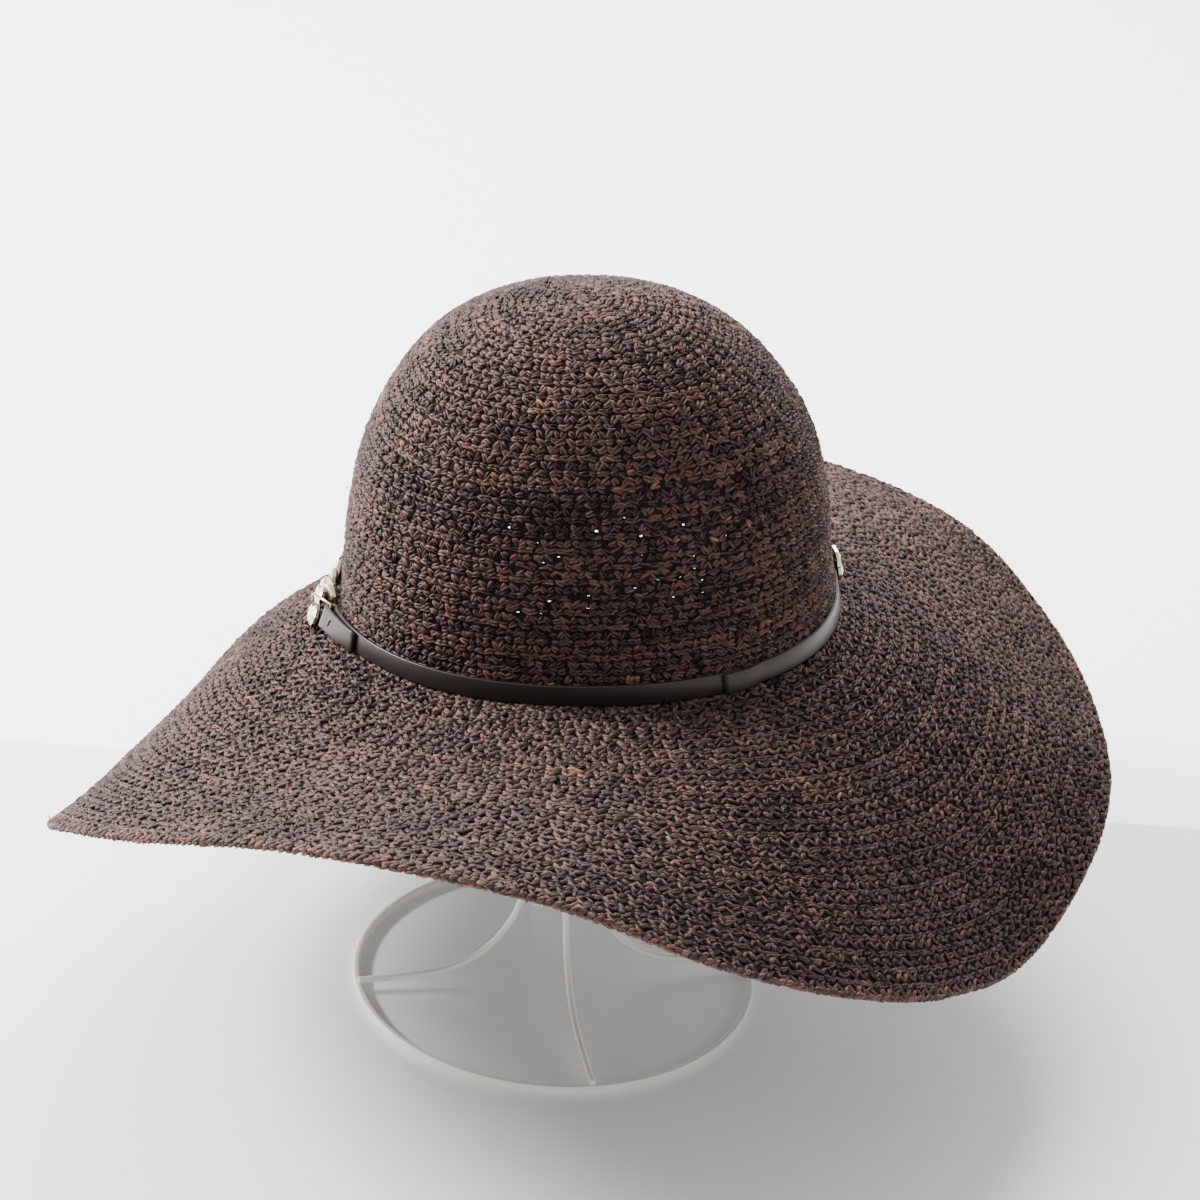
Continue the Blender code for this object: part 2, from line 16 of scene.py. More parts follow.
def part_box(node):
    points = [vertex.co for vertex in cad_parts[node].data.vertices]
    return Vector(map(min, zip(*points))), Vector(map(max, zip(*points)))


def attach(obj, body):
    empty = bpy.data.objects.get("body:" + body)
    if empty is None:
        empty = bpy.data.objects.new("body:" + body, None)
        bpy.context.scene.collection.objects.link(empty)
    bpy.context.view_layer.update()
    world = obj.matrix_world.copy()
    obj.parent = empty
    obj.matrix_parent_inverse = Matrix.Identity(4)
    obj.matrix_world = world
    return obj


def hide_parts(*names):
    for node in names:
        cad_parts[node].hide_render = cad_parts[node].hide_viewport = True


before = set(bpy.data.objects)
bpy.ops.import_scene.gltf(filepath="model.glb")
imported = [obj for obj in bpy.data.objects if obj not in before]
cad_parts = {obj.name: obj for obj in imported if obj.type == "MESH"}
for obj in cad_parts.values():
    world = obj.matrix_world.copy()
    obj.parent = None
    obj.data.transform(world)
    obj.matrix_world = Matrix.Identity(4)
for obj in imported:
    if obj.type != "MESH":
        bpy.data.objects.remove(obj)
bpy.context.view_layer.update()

LOG = logging.getLogger("raffia_hat")
MM = 0.001
BODY = "root"
MERGE_DISTANCE = 0.005 * MM
FINE_STEPS = 400
SMALL_SHARE = 1e-4
Colour = tuple[float, float, float]


class Slot(Enum):
    """Material slots of the record."""

    RAFFIA = "dark_raffia"
    LEATHER = "strap_leather"
    METAL = "pale_gold_metal"
    PAINT = "cream_paint"


class CrownRow(NamedTuple):
    """One crown section: shares of the crown's height, half length and half width, and its lean."""

    height: float
    length: float
    width: float
    lean: float


class BrimRow(NamedTuple):
    """The brim in one direction: its width share and its droop inside, half way and at the edge."""

    angle: float
    width: float
    slope_in: float
    slope_mid: float
    slope_out: float


class StandOff(NamedTuple):
    """How far the strap stands off the crown: its foot and its lean, as shares of its height."""

    angle: float
    foot: float
    lean: float


class LegRow(NamedTuple):
    """One point of a stand leg: shares of its reach and of its height."""

    reach: float
    height: float


CROWN = (
    CrownRow(0.000, 1.000, 1.000, 0.000),
    CrownRow(0.180, 0.974, 0.990, -0.006),
    CrownRow(0.360, 0.950, 0.968, 0.002),
    CrownRow(0.540, 0.896, 0.925, 0.007),
    CrownRow(0.700, 0.792, 0.835, 0.004),
    CrownRow(0.840, 0.640, 0.690, -0.004),
    CrownRow(0.940, 0.434, 0.470, -0.011),
    CrownRow(0.988, 0.212, 0.225, -0.015),
    CrownRow(1.000, 0.000, 0.000, -0.015),
)

BRIM = (
    BrimRow(-180, 0.95, 14, 49, 56),
    BrimRow(-165, 0.95, 9, 33, 47),
    BrimRow(-150, 0.97, 8, 14, 18),
    BrimRow(-135, 0.97, 6, 3, 0),
    BrimRow(-120, 0.97, 2, -4, -10),
    BrimRow(-105, 0.98, 0, -5, -10),
    BrimRow(-90, 0.98, 0, 0, -1),
    BrimRow(-75, 1.00, 5, 11, 17),
    BrimRow(-60, 1.00, 12, 24, 36),
    BrimRow(-45, 1.00, 20, 38, 55),
    BrimRow(-30, 1.03, 26, 46, 65),
    BrimRow(-15, 1.01, 28, 44, 59),
    BrimRow(0, 1.00, 27, 38, 49),
    BrimRow(15, 1.00, 25, 34, 43),
    BrimRow(30, 1.00, 20, 28, 35),
    BrimRow(45, 1.00, 14, 20, 25),
    BrimRow(60, 1.00, 11, 16, 20),
    BrimRow(75, 1.00, 10, 14, 18),
    BrimRow(90, 1.00, 12, 17, 22),
    BrimRow(105, 1.00, 16, 24, 32),
    BrimRow(120, 1.00, 20, 36, 46),
    BrimRow(135, 1.00, 30, 50, 60),
    BrimRow(150, 0.99, 28, 62, 70),
    BrimRow(165, 0.96, 18, 57, 68),
)


def smooth_read(keys: Sequence[float], values: np.ndarray, at: np.ndarray) -> np.ndarray:
    """Read a smooth curve.

    Args:
        keys: rising places of the known values.
        values: one value or one row of values per key.
        at: places to read.

    Returns:
        The values at those places.
    """
    keys = np.asarray(keys, dtype=float)
    values = np.asarray(values, dtype=float)
    at = np.asarray(at, dtype=float)
    tangents = np.gradient(values, keys, axis=0)
    low = np.clip(np.searchsorted(keys, at, side="right") - 1, 0, len(keys) - 2)
    step = keys[low + 1] - keys[low]
    t = (at - keys[low]) / step
    if values.ndim == 2:
        step = step[..., None]
        t = t[..., None]
    start = values[low] * (2 * t**3 - 3 * t**2 + 1)
    end = values[low + 1] * (3 * t**2 - 2 * t**3)
    leave = tangents[low] * step * (t**3 - 2 * t**2 + t)
    arrive = tangents[low + 1] * step * (t**3 - t**2)
    return start + leave + end + arrive


def round_read(rows: Sequence[tuple], degrees: np.ndarray) -> np.ndarray:
    """Read a table round the hat.

    Args:
        rows: table whose first column is an angle in degrees, rising.
        degrees: angles to read.

    Returns:
        The other columns at those angles.
    """
    table = np.array(rows, dtype=float)
    turn = np.array([360.0] + [0.0] * (table.shape[1] - 1))
    table = np.vstack([table[-2:] - turn, table, table[:2] + turn])
    wrapped = (np.asarray(degrees, dtype=float) - table[2, 0]) % 360.0 + table[2, 0]
    return smooth_read(table[:, 0], table[:, 1:], wrapped)


@dataclass(frozen=True)
class HatShape:
    """Surfaces of the hat in its own frame, whose XY plane is where crown and brim meet."""

    length: float = 202 * MM
    width: float = 168 * MM
    height: float = 136 * MM
    brim_width: float = 147 * MM
    fullness: float = 2.18
    wall: float = 2.4 * MM
    gap: float = 0.3 * MM
    seat_height: float = 185 * MM
    seat_shift: float = 4 * MM
    tilt: float = math.radians(4.4)
    brim_steps: int = 30

    def stand_axis(self) -> np.ndarray:
        """Middle of the stand's ring on the floor."""
        low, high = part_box("wire_stand")
        return np.array([(low.x + high.x) / 2, (low.y + high.y) / 2, 0.0])

    def seat(self) -> Matrix:
        """The hat's place on the stand."""
        place = Vector(self.stand_axis()) + Vector((self.seat_shift, 0.0, self.seat_height))
        return Matrix.Translation(place) @ Matrix.Rotation(-self.tilt, 4, "Y")

    def seated(self, points: np.ndarray) -> np.ndarray:
        """Take points from the hat's frame to the floor's frame."""
        matrix = np.array(self.seat())
        return points @ matrix[:3, :3].T + matrix[:3, 3]

    def turned(self, vectors: np.ndarray) -> np.ndarray:
        """Take directions from the hat's frame to the floor's frame."""
        return vectors @ np.array(self.seat())[:3, :3].T

    def oval(self, angles: np.ndarray) -> tuple[np.ndarray, np.ndarray]:
        """Plan of the crown on a unit oval, a little fuller than an ellipse."""
        cosines = np.cos(angles)
        sines = np.sin(angles)
        power = 2 / self.fullness
        return np.sign(cosines) * np.abs(cosines) ** power, np.sign(sines) * np.abs(sines) ** power

    def sections(self, shares: np.ndarray) -> np.ndarray:
        """Crown sections in metres.

        Args:
            shares: places along the crown table, from 0 at the foot to 1 at the top.

        Returns:
            Rows of height, half length, half width and lean.
        """
        table = np.array(CROWN, dtype=float)
        padded = np.vstack([table, table[-2] * np.array([1, -1, -1, 1])])
        places = np.asarray(shares) * (len(CROWN) - 1)
        scale = np.array([self.height, self.length / 2, self.width / 2, self.length / 2])
        return smooth_read(np.arange(len(padded)), padded, places) * scale

    def section_at(self, height: np.ndarray) -> np.ndarray:
        """Crown sections at heights over the foot."""
        fine = self.sections(np.linspace(0, 1, FINE_STEPS))
        columns = [np.interp(height, fine[:, 0], fine[:, k]) for k in range(4)]
        return np.stack(columns, axis=-1)

    def walk(self) -> tuple[np.ndarray, np.ndarray]:
        """Places along the crown table and the length walked up the crown's side to each."""
        places = np.linspace(0, 1, FINE_STEPS)
        fine = self.sections(places)
        steps = np.diff(np.stack([fine[:, 0], (fine[:, 1] + fine[:, 2]) / 2], axis=-1), axis=0)
        return places, np.concatenate([[0], np.cumsum(np.linalg.norm(steps, axis=-1))])

    def rise(self) -> float:
        """Length of the crown's side from the foot to the top."""
        return float(self.walk()[1][-1])

    def crown(self, share: np.ndarray, angle: np.ndarray) -> np.ndarray:
        """Points of the crown's outside.

        Args:
            share: share of the way up the crown's side, by length.
            angle: direction round the hat in radians.

        Returns:
            Points in the hat's frame.
        """
        places, walked = self.walk()
        at = np.interp(np.asarray(share), walked / walked[-1], places)
        rows = self.sections(at)
        x, y = self.oval(angle)
        return np.stack([rows[..., 3] + rows[..., 1] * x, rows[..., 2] * y, rows[..., 0] + 0 * x], axis=-1)

    def side(self, angle: np.ndarray, height: np.ndarray) -> tuple[np.ndarray, np.ndarray]:
        """Points of the crown's outside at a height, with level normals.

        Args:
            angle: direction round the hat in radians.
            height: height over the crown's foot.

        Returns:
            The points and the normals, in the hat's frame.
        """
        angle = np.asarray(angle, dtype=float)
        rows = self.section_at(np.asarray(height, dtype=float) + 0 * angle)
        x, y = self.oval(angle)
        points = np.stack([rows[..., 3] + rows[..., 1] * x, rows[..., 2] * y, height + 0 * x], axis=-1)
        power = self.fullness - 1
        normals = np.stack([np.sign(x) * np.abs(x) ** power / rows[..., 1],
                            np.sign(y) * np.abs(y) ** power / rows[..., 2], 0 * x], axis=-1)
        return points, normals / np.linalg.norm(normals, axis=-1, keepdims=True)

    def beside(self, degrees: float, out: float, height: float) -> np.ndarray:
        """Point beside the crown, `out` metres off the straw."""
        points, normals = self.side(np.array([math.radians(degrees)]), height)
        return (points + normals * out)[0]

    def brim(self, share: np.ndarray, angle: np.ndarray) -> np.ndarray:
        """Points of the brim's upper side.

        Args:
            share: share of the brim's width, from the crown to the edge.
            angle: direction round the hat in radians.

        Returns:
            Points in the hat's frame.
        """
        share = np.asarray(share, dtype=float) + 0 * np.asarray(angle)
        angle = np.asarray(angle, dtype=float) + 0 * share
        folds = round_read(BRIM, np.degrees(angle))
        width, slope_in, slope_mid, slope_out = (folds[..., k] for k in range(4))
        step = share / self.brim_steps
        out = np.zeros_like(share)
        down = np.zeros_like(share)
        for i in range(self.brim_steps):
            at = (i + 0.5) * step
            lower = slope_in + (slope_mid - slope_in) * np.minimum(at * 2, 1)
            slope = np.radians(lower + (slope_out - slope_mid) * np.maximum(at * 2 - 1, 0))
            out += np.cos(slope) * step
            down += np.sin(slope) * step
        foot, normal = self.side(angle, np.zeros_like(angle))
        reach = (width * self.brim_width)[..., None]
        points = foot + normal * out[..., None] * reach
        points[..., 2] -= 2 * self.gap + down * reach[..., 0]
        return points


SHAPE = HatShape()
Surface = Callable[[np.ndarray, np.ndarray], np.ndarray]


@dataclass(frozen=True)
class Cloth:
    """A crocheted surface, read by share of its width and by angle, with its normals turned out."""

    surface: Surface
    outward: float

    def frames(self, share: np.ndarray, angle: np.ndarray) -> tuple[np.ndarray, ...]:
        """Points and directions on the cloth, in the floor's frame.

        Args:
            share: share of the cloth's width.
            angle: direction round the hat in radians.

        Returns:
            Points, directions along the row, directions across the rows and normals.
        """
        near = np.clip(share, SMALL_SHARE, 1 - SMALL_SHARE)
        here = self.surface(share, angle)
        along = self.surface(near, angle + SMALL_SHARE) - self.surface(near, angle - SMALL_SHARE)
        across = self.surface(near + SMALL_SHARE, angle) - self.surface(near - SMALL_SHARE, angle)
        along /= np.linalg.norm(along, axis=-1, keepdims=True)
        out = np.cross(along, across) * self.outward
        out /= np.linalg.norm(out, axis=-1, keepdims=True)
        across = np.cross(out, along)
        return SHAPE.seated(here), SHAPE.turned(along), SHAPE.turned(across), SHAPE.turned(out)

    def girth(self, share: float, count: int = 720) -> tuple[np.ndarray, np.ndarray]:
        """Angles and lengths walked round one row."""
        angles = np.linspace(-math.pi, math.pi, count + 1)
        points = self.surface(np.full_like(angles, share), angles)
        steps = np.linalg.norm(np.diff(points, axis=0), axis=-1)
        return angles, np.concatenate([[0], np.cumsum(steps)])


CROWN_CLOTH = Cloth(SHAPE.crown, 1.0)
BRIM_CLOTH = Cloth(SHAPE.brim, -1.0)


class Signal:
    """A shader socket that Python's operators do maths on."""

    def __init__(self, desk: "Desk", socket: bpy.types.NodeSocket) -> None:
        """Wrap a socket of the desk's tree."""
        self.desk = desk
        self.socket = socket

    def maths(self, operation: str, *others: "Signal | float") -> "Signal":
        """Add a Math node for this value and the others."""
        values = dict(enumerate((self, *others)))
        return self.desk.node("ShaderNodeMath", {"operation": operation}, values)[0]

    def __add__(self, other: "Signal | float") -> "Signal":
        """Sum of two values."""
        return self.maths("ADD", other)

    __radd__ = __add__

    def __mul__(self, other: "Signal | float") -> "Signal":
        """Product of two values."""
        return self.maths("MULTIPLY", other)

    __rmul__ = __mul__

    def __sub__(self, other: "Signal | float") -> "Signal":
        """Difference of two values."""
        return self.maths("SUBTRACT", other)

    def __rsub__(self, other: float) -> "Signal":
        """Difference from a number."""
        return (self * -1.0).maths("ADD", other)


class Desk:
    """Makes nodes in one node tree."""

    def __init__(self, tree: bpy.types.NodeTree) -> None:
        """Work on this tree."""
        self.tree = tree

    def node(self, kind: str, settings: dict | None = None, values: dict | None = None) -> list[Signal]:
        """Add one node.

        Args:
            kind: the node's type.
            settings: its properties, or "stops" for the stops of a colour ramp.
            values: values or links of its inputs, by name or by number.

        Returns:
            Its outputs that are in use.
        """
        made = self.tree.nodes.new(kind)
        for key, value in (settings or {}).items():
            if key == "stops":
                self.set_stops(made.color_ramp, value)
            else:
                setattr(made, key, value)
        for key, value in (values or {}).items():
            socket = made.inputs[key]
            if isinstance(value, Signal):
                self.tree.links.new(value.socket, socket)
            elif isinstance(value, bpy.types.NodeSocket):
                self.tree.links.new(value, socket)
            else:
                socket.default_value = value
        return [Signal(self, socket) for socket in made.outputs if socket.enabled]

    @staticmethod
    def set_stops(ramp: bpy.types.ColorRamp, stops: Sequence[tuple[float, Colour]]) -> None:
        """Give a colour ramp its stops."""
        while len(ramp.elements) < len(stops):
            ramp.elements.new(0.5)
        for element, (place, colour) in zip(ramp.elements, stops):
            element.position = place
            element.color = (*colour, 1.0)

    def mix(self, share: "Signal | float", first: object, second: object, blend: str = "MIX") -> Signal:
        """Mix two colours."""
        values = {0: share, 6: first, 7: second}
        return self.node("ShaderNodeMix", {"data_type": "RGBA", "blend_type": blend}, values)[0]


def new_material(name: str) -> tuple[bpy.types.Material, Desk, bpy.types.Node]:
    """Start a material.

    Args:
        name: the material's name.

    Returns:
        The material, the desk of its tree and its Principled shader.
    """
    made = bpy.data.materials.new(name)
    made.use_nodes = True
    return made, Desk(made.node_tree), made.node_tree.nodes["Principled BSDF"]


@dataclass(frozen=True)
class RaffiaFinish:
    """Dyed raffia: strands from black-brown to russet and tan, with a satin sheen, and fine fibre lines: a
    real grain whose colour also carries painted shade in the grooves and painted highlight on the ridges.
    """

    name: str
    stops: tuple[tuple[float, Colour], ...]
    roughness: float = 0.5
    shine: float = 0.24
    shine_tint: Colour = (1.0, 0.84, 0.80)
    grain_depth: float = 0.35 * MM
    grain_strength: float = 0.8
    strands_round: float = 6.0
    strands_along: float = 1.4
    strand_shift: float = 60.0
    cloud_scale: float = 26.0
    cloud_weight: float = 0.5
    # painted shade in the fibre grooves and painted highlight on the fibre ridges, multiplied into the
    # strands' colour
    crease_shade_and_ridge_highlight_stops: tuple[tuple[float, Colour], ...] = ((0.34, (0.30, 0.27, 0.27)), (0.62, (1.25, 1.22, 1.20)))

    def build(self) -> bpy.types.Material:
        """Make the material, which reads the strands' tint and grain attributes."""
        made, desk, shader = new_material(self.name)
        tint = desk.node("ShaderNodeAttribute", {"attribute_name": "tint"})[2]
        grain = desk.node("ShaderNodeAttribute", {"attribute_name": "grain"})[1]
        place = desk.node("ShaderNodeTexCoord")[3]
        values = {"Vector": place, "Scale": self.cloud_scale, "Detail": 2.0}
        cloud = desk.node("ShaderNodeTexNoise", None, values)[0]
        hue = tint + (cloud - 0.5) * self.cloud_weight
        ramp = desk.node("ShaderNodeValToRGB", {"stops": self.stops}, {0: hue})[0]
        values = {"Vector": grain, "Scale": (self.strands_round, self.strands_along, 1.0)}
        fibre = desk.node("ShaderNodeMapping", None, values)[0]
        shift = desk.node("ShaderNodeCombineXYZ", None, {2: tint * self.strand_shift})[0]
        moved = desk.node("ShaderNodeVectorMath", {"operation": "ADD"}, {0: fibre, 1: shift})[0]
        lines = desk.node("ShaderNodeTexNoise", None, {"Vector": moved, "Scale": 1.0, "Detail": 1.0})[0]
        # painted shade in the fibre grooves and painted highlight on the ridges, following the same heights
        # as the bump
        shade = desk.node("ShaderNodeValToRGB", {"stops": self.crease_shade_and_ridge_highlight_stops}, {0: lines})[0]
        colour = desk.mix(1.0, ramp, shade, "MULTIPLY")
        values = {"Strength": self.grain_strength, "Distance": self.grain_depth, "Height": lines}
        bump = desk.node("ShaderNodeBump", None, values)
        links = made.node_tree.links
        links.new(colour.socket, shader.inputs["Base Color"])
        links.new(bump[0].socket, shader.inputs["Normal"])
        shader.inputs["Roughness"].default_value = self.roughness
        shader.inputs["Specular IOR Level"].default_value = self.shine
        shader.inputs["Specular Tint"].default_value = (*self.shine_tint, 1.0)
        return made


@dataclass(frozen=True)
class PlainFinish:
    """An even finish with an optional fine grain."""

    name: str
    colour: Colour
    roughness: float
    metallic: float = 0.0
    coat: float = 0.0
    grain_scale: float = 0.0
    grain_depth: float = 0.0
    mottle: float = 0.0
    shine: float = 0.5
    shine_tint: Colour = (1.0, 1.0, 1.0)
    glow: float = 0.0

    def build(self) -> bpy.types.Material:
        """Make the material."""
        made, desk, shader = new_material(self.name)
        shader.inputs["Base Color"].default_value = (*self.colour, 1.0)
        shader.inputs["Roughness"].default_value = self.roughness
        shader.inputs["Metallic"].default_value = self.metallic
        shader.inputs["Coat Weight"].default_value = self.coat
        shader.inputs["Specular IOR Level"].default_value = self.shine
        shader.inputs["Specular Tint"].default_value = (*self.shine_tint, 1.0)
        shader.inputs["Emission Color"].default_value = (*self.colour, 1.0)
        shader.inputs["Emission Strength"].default_value = self.glow
        if self.grain_scale:
            place = desk.node("ShaderNodeTexCoord")[3]
            values = {"Vector": place, "Scale": self.grain_scale, "Detail": 3.0}
            grain = desk.node("ShaderNodeTexNoise", None, values)[0]
            values = {"Strength": 1.0, "Distance": self.grain_depth, "Height": grain}
            bump = desk.node("ShaderNodeBump", None, values)
            made.node_tree.links.new(bump[0].socket, shader.inputs["Normal"])
            if self.mottle:
                dark = tuple(c * (1 - self.mottle) for c in self.colour)
                light = tuple(c * (1 + self.mottle) for c in self.colour)
                stops = ((0.35, dark), (0.65, light))
                ramp = desk.node("ShaderNodeValToRGB", {"stops": stops}, {0: grain})[0]
                made.node_tree.links.new(ramp.socket, shader.inputs["Base Color"])
        return made


STRANDS = RaffiaFinish(
    "raffia_strands",
    ((0.00, (0.0105, 0.0063, 0.0062)), (0.25, (0.026, 0.0150, 0.0142)), (0.50, (0.058, 0.033, 0.030)),
     (0.72, (0.091, 0.050, 0.044)), (0.88, (0.112, 0.044, 0.035)), (1.00, (0.165, 0.090, 0.062))),
)
SHADOWED_STRAW = PlainFinish("raffia_ground", (0.010, 0.006, 0.006), 0.8, grain_scale=900.0,
                             grain_depth=0.3 * MM, mottle=0.5, shine=0.1)
LEATHER = PlainFinish("strap_leather", (0.012, 0.009, 0.008), 0.36, grain_scale=1500.0,
                      grain_depth=0.05 * MM, mottle=0.15, shine=0.4, shine_tint=(1.0, 0.92, 0.84))
THREAD = PlainFinish("dark_thread", (0.005, 0.004, 0.004), 0.8, shine=0.1)
METAL = PlainFinish("pale_gold_metal", (0.60, 0.53, 0.40), 0.24, metallic=1.0, grain_scale=260.0,
                    grain_depth=0.02 * MM)
PAINT = PlainFinish("cream_paint", (0.82, 0.80, 0.735), 0.28, coat=0.3)
TABLE_WHITE = PlainFinish("table_white", (0.86, 0.85, 0.825), 0.24, glow=0.07)
SWEEP_WHITE = PlainFinish("sweep_white", (0.88, 0.88, 0.88), 0.9, shine=0.0, glow=0.85)


def finished(made: bpy.types.Object, slot: Slot, *replaced: str) -> bpy.types.Object:
    """Args:
        made: the piece, in place.
        slot: not used.
        replaced: CAD nodes it stands for.

    Returns:
        The same piece.
    """
    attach(made, BODY)
    if replaced:
        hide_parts(*replaced)
    LOG.info("%s: %d faces", made.name, len(made.data.polygons))
    return made


def new_object(name: str, mesh: bpy.types.Mesh,
               finish: bpy.types.Material | None = None) -> bpy.types.Object:
    """Put a mesh in the scene, with its material."""
    if finish is not None:
        mesh.materials.append(finish)
    made = bpy.data.objects.new(name, mesh)
    bpy.context.scene.collection.objects.link(made)
    return made


def mesh_of(name: str, points: np.ndarray, faces: Sequence[Sequence[int]]) -> bpy.types.Mesh:
    """Smooth mesh from points and faces."""
    mesh = bpy.data.meshes.new(name)
    mesh.from_pydata(np.asarray(points).tolist(), [], [tuple(int(i) for i in face) for face in faces])
    mesh.update()
    mesh.shade_smooth()
    return mesh


def rounded_section(thickness: float, height: float, corner: float) -> list[tuple[float, float]]:
    """Section of a strip with rounded corners: distance across it and height over its lower edge."""
    half = thickness / 2
    points = []
    for across, up, start in ((half, height, 0), (-half, height, 90), (-half, 0, 180), (half, 0, 270)):
        middle_across = across - math.copysign(corner, across)
        middle_up = up + (corner if up == 0 else -corner)
        for turn in np.radians(start + np.linspace(0, 90, 4)):
            points.append((middle_across + corner * math.cos(turn), middle_up + corner * math.sin(turn)))
    return points


def outward(mesh: bpy.types.Mesh) -> bpy.types.Mesh:
    """Turn a closed mesh's faces outwards, after its doubles are merged."""
    work = bmesh.new()
    work.from_mesh(mesh)
    bmesh.ops.remove_doubles(work, verts=work.verts, dist=MERGE_DISTANCE)
    bmesh.ops.recalc_face_normals(work, faces=work.faces)
    work.to_mesh(mesh)
    work.free()
    return mesh


def wire(name: str, route: Sequence[Sequence[float]], radius: float, smooth_path: bool = True,
         roundness: int = 3) -> bpy.types.Mesh:
    """Round wire along a route, as a closed mesh.

    Args:
        name: the mesh's name.
        route: points of its middle line.
        radius: the wire's radius.
        smooth_path: whether the line runs smoothly through its points.
        roundness: how many facets its round section has, from 0.

    Returns:
        The mesh.
    """
    curve = bpy.data.curves.new(name, "CURVE")
    curve.dimensions = "3D"
    curve.bevel_depth = radius
    curve.bevel_resolution = roundness
    curve.use_fill_caps = True
    curve.resolution_u = 4
    spline = curve.splines.new("BEZIER" if smooth_path else "POLY")
    points = spline.bezier_points if smooth_path else spline.points
    points.add(len(route) - 1)
    for point, place in zip(points, route):
        if smooth_path:
            point.co = place
            point.handle_left_type = "AUTO"
            point.handle_right_type = "AUTO"
        else:
            point.co = (*place, 1.0)
    seed = bpy.data.objects.new(name, curve)
    bpy.context.scene.collection.objects.link(seed)
    bpy.context.view_layer.update()
    graph = bpy.context.evaluated_depsgraph_get()
    mesh = bpy.data.meshes.new_from_object(seed.evaluated_get(graph))
    bpy.data.objects.remove(seed)
    mesh.name = name
    mesh.materials.clear()
    mesh.shade_smooth()
    return outward(mesh)


def joined(name: str, meshes: Sequence[bpy.types.Mesh]) -> bpy.types.Mesh:
    """Put several meshes into one."""
    work = bmesh.new()
    for mesh in meshes:
        work.from_mesh(mesh)
    made = bpy.data.meshes.new(name)
    work.to_mesh(made)
    work.free()
    return made


@dataclass(frozen=True)
class Ply:
    """One strand of a stitch: its place in the stitch, its turn and its size."""

    along: float
    up: float
    turn: float
    length: float
    width: float
    rise: float


@dataclass(frozen=True)
class StrandTree:
    """Geometry Nodes that set a plump strand on every point of a cloth."""

    name: str
    rings: int = 3
    sides: int = 4
    ruffle: float = 0.22 * MM
    ruffle_gain: float = 4.0
    wave_scale: float = 420.0

    def build(self) -> bpy.types.NodeTree:
        """Make the tree, with named inputs for its facets and its ruffle."""
        tree = bpy.data.node_groups.new(self.name, "GeometryNodeTree")
        face = tree.interface
        face.new_socket("Geometry", in_out="INPUT", socket_type="NodeSocketGeometry")
        for name, kind, value in (("Sides", "Int", self.sides), ("Rings", "Int", self.rings),
                                  ("Ruffle", "Float", self.ruffle)):
            socket = face.new_socket(name, in_out="INPUT", socket_type=f"NodeSocket{kind}")
            socket.default_value = value
        face.new_socket("Finish", in_out="INPUT", socket_type="NodeSocketMaterial")
        face.new_socket("Geometry", in_out="OUTPUT", socket_type="NodeSocketGeometry")
        desk = Desk(tree)
        given = desk.node("NodeGroupInput")
        values = {"Segments": given[1], "Rings": given[2], "Radius": 1.0}
        pebble = desk.node("GeometryNodeMeshUVSphere", None, values)
        strand = desk.node("GeometryNodeStoreNamedAttribute", {"data_type": "FLOAT2", "domain": "CORNER"},
                           {"Geometry": pebble[0], "Name": "grain", "Value": pebble[1]})[0]
        along, out, size = (self.read(desk, name) for name in ("along", "out", "size"))
        settings = {"primary_axis": "Z", "secondary_axis": "X"}
        turn = desk.node("FunctionNodeAxesToRotation", settings, {0: along, 1: out})[0]
        placed = desk.node("GeometryNodeInstanceOnPoints", None,
                           {"Points": given[0], "Instance": strand, "Rotation": turn, "Scale": size})[0]
        real = desk.node("GeometryNodeRealizeInstances", None, {"Geometry": placed})[0]
        wave = desk.node("ShaderNodeTexNoise", None, {"Scale": self.wave_scale, "Detail": 1.0})[1]
        values = {0: wave, 1: (0.5, 0.5, 0.5)}
        middle = desk.node("ShaderNodeVectorMath", {"operation": "SUBTRACT"}, values)[0]
        values = {0: middle, "Scale": given[3] * self.ruffle_gain}
        push = desk.node("ShaderNodeVectorMath", {"operation": "SCALE"}, values)[0]
        real = desk.node("GeometryNodeSetPosition", None, {"Geometry": real, "Offset": push})[0]
        for name in ("along", "out", "size"):
            real = desk.node("GeometryNodeRemoveAttribute", None, {"Geometry": real, "Name": name})[0]
        smooth = desk.node("GeometryNodeSetShadeSmooth", None, {"Geometry": real})[0]
        dressed = desk.node("GeometryNodeSetMaterial", None, {"Geometry": smooth, "Material": given[4]})[0]
        desk.node("NodeGroupOutput", None, {0: dressed})
        return tree

    @staticmethod
    def read(desk: Desk, name: str) -> Signal:
        """Read a vector attribute of the points."""
        return desk.node("GeometryNodeInputNamedAttribute", {"data_type": "FLOAT_VECTOR"}, {"Name": name})[0]

    def apply(self, name: str, cloud: bpy.types.Mesh, finish: bpy.types.Material) -> bpy.types.Object:
        """Grow the strands and keep them as a plain mesh.

        Args:
            name: the piece's name.
            cloud: points with the attributes along, out, size and tint.
            finish: the strands' material.

        Returns:
            The piece.
        """
        seed = new_object(f"{name}_points", cloud)
        nodes = seed.modifiers.new("strands", "NODES")
        nodes.node_group = self.build()
        for item in nodes.node_group.interface.items_tree:
            if item.name == "Finish":
                nodes[item.identifier] = finish
        bpy.context.view_layer.update()
        graph = bpy.context.evaluated_depsgraph_get()
        mesh = bpy.data.meshes.new_from_object(seed.evaluated_get(graph))
        seed.modifiers.remove(nodes)
        bpy.data.objects.remove(seed)
        mesh.name = name
        return new_object(name, mesh)


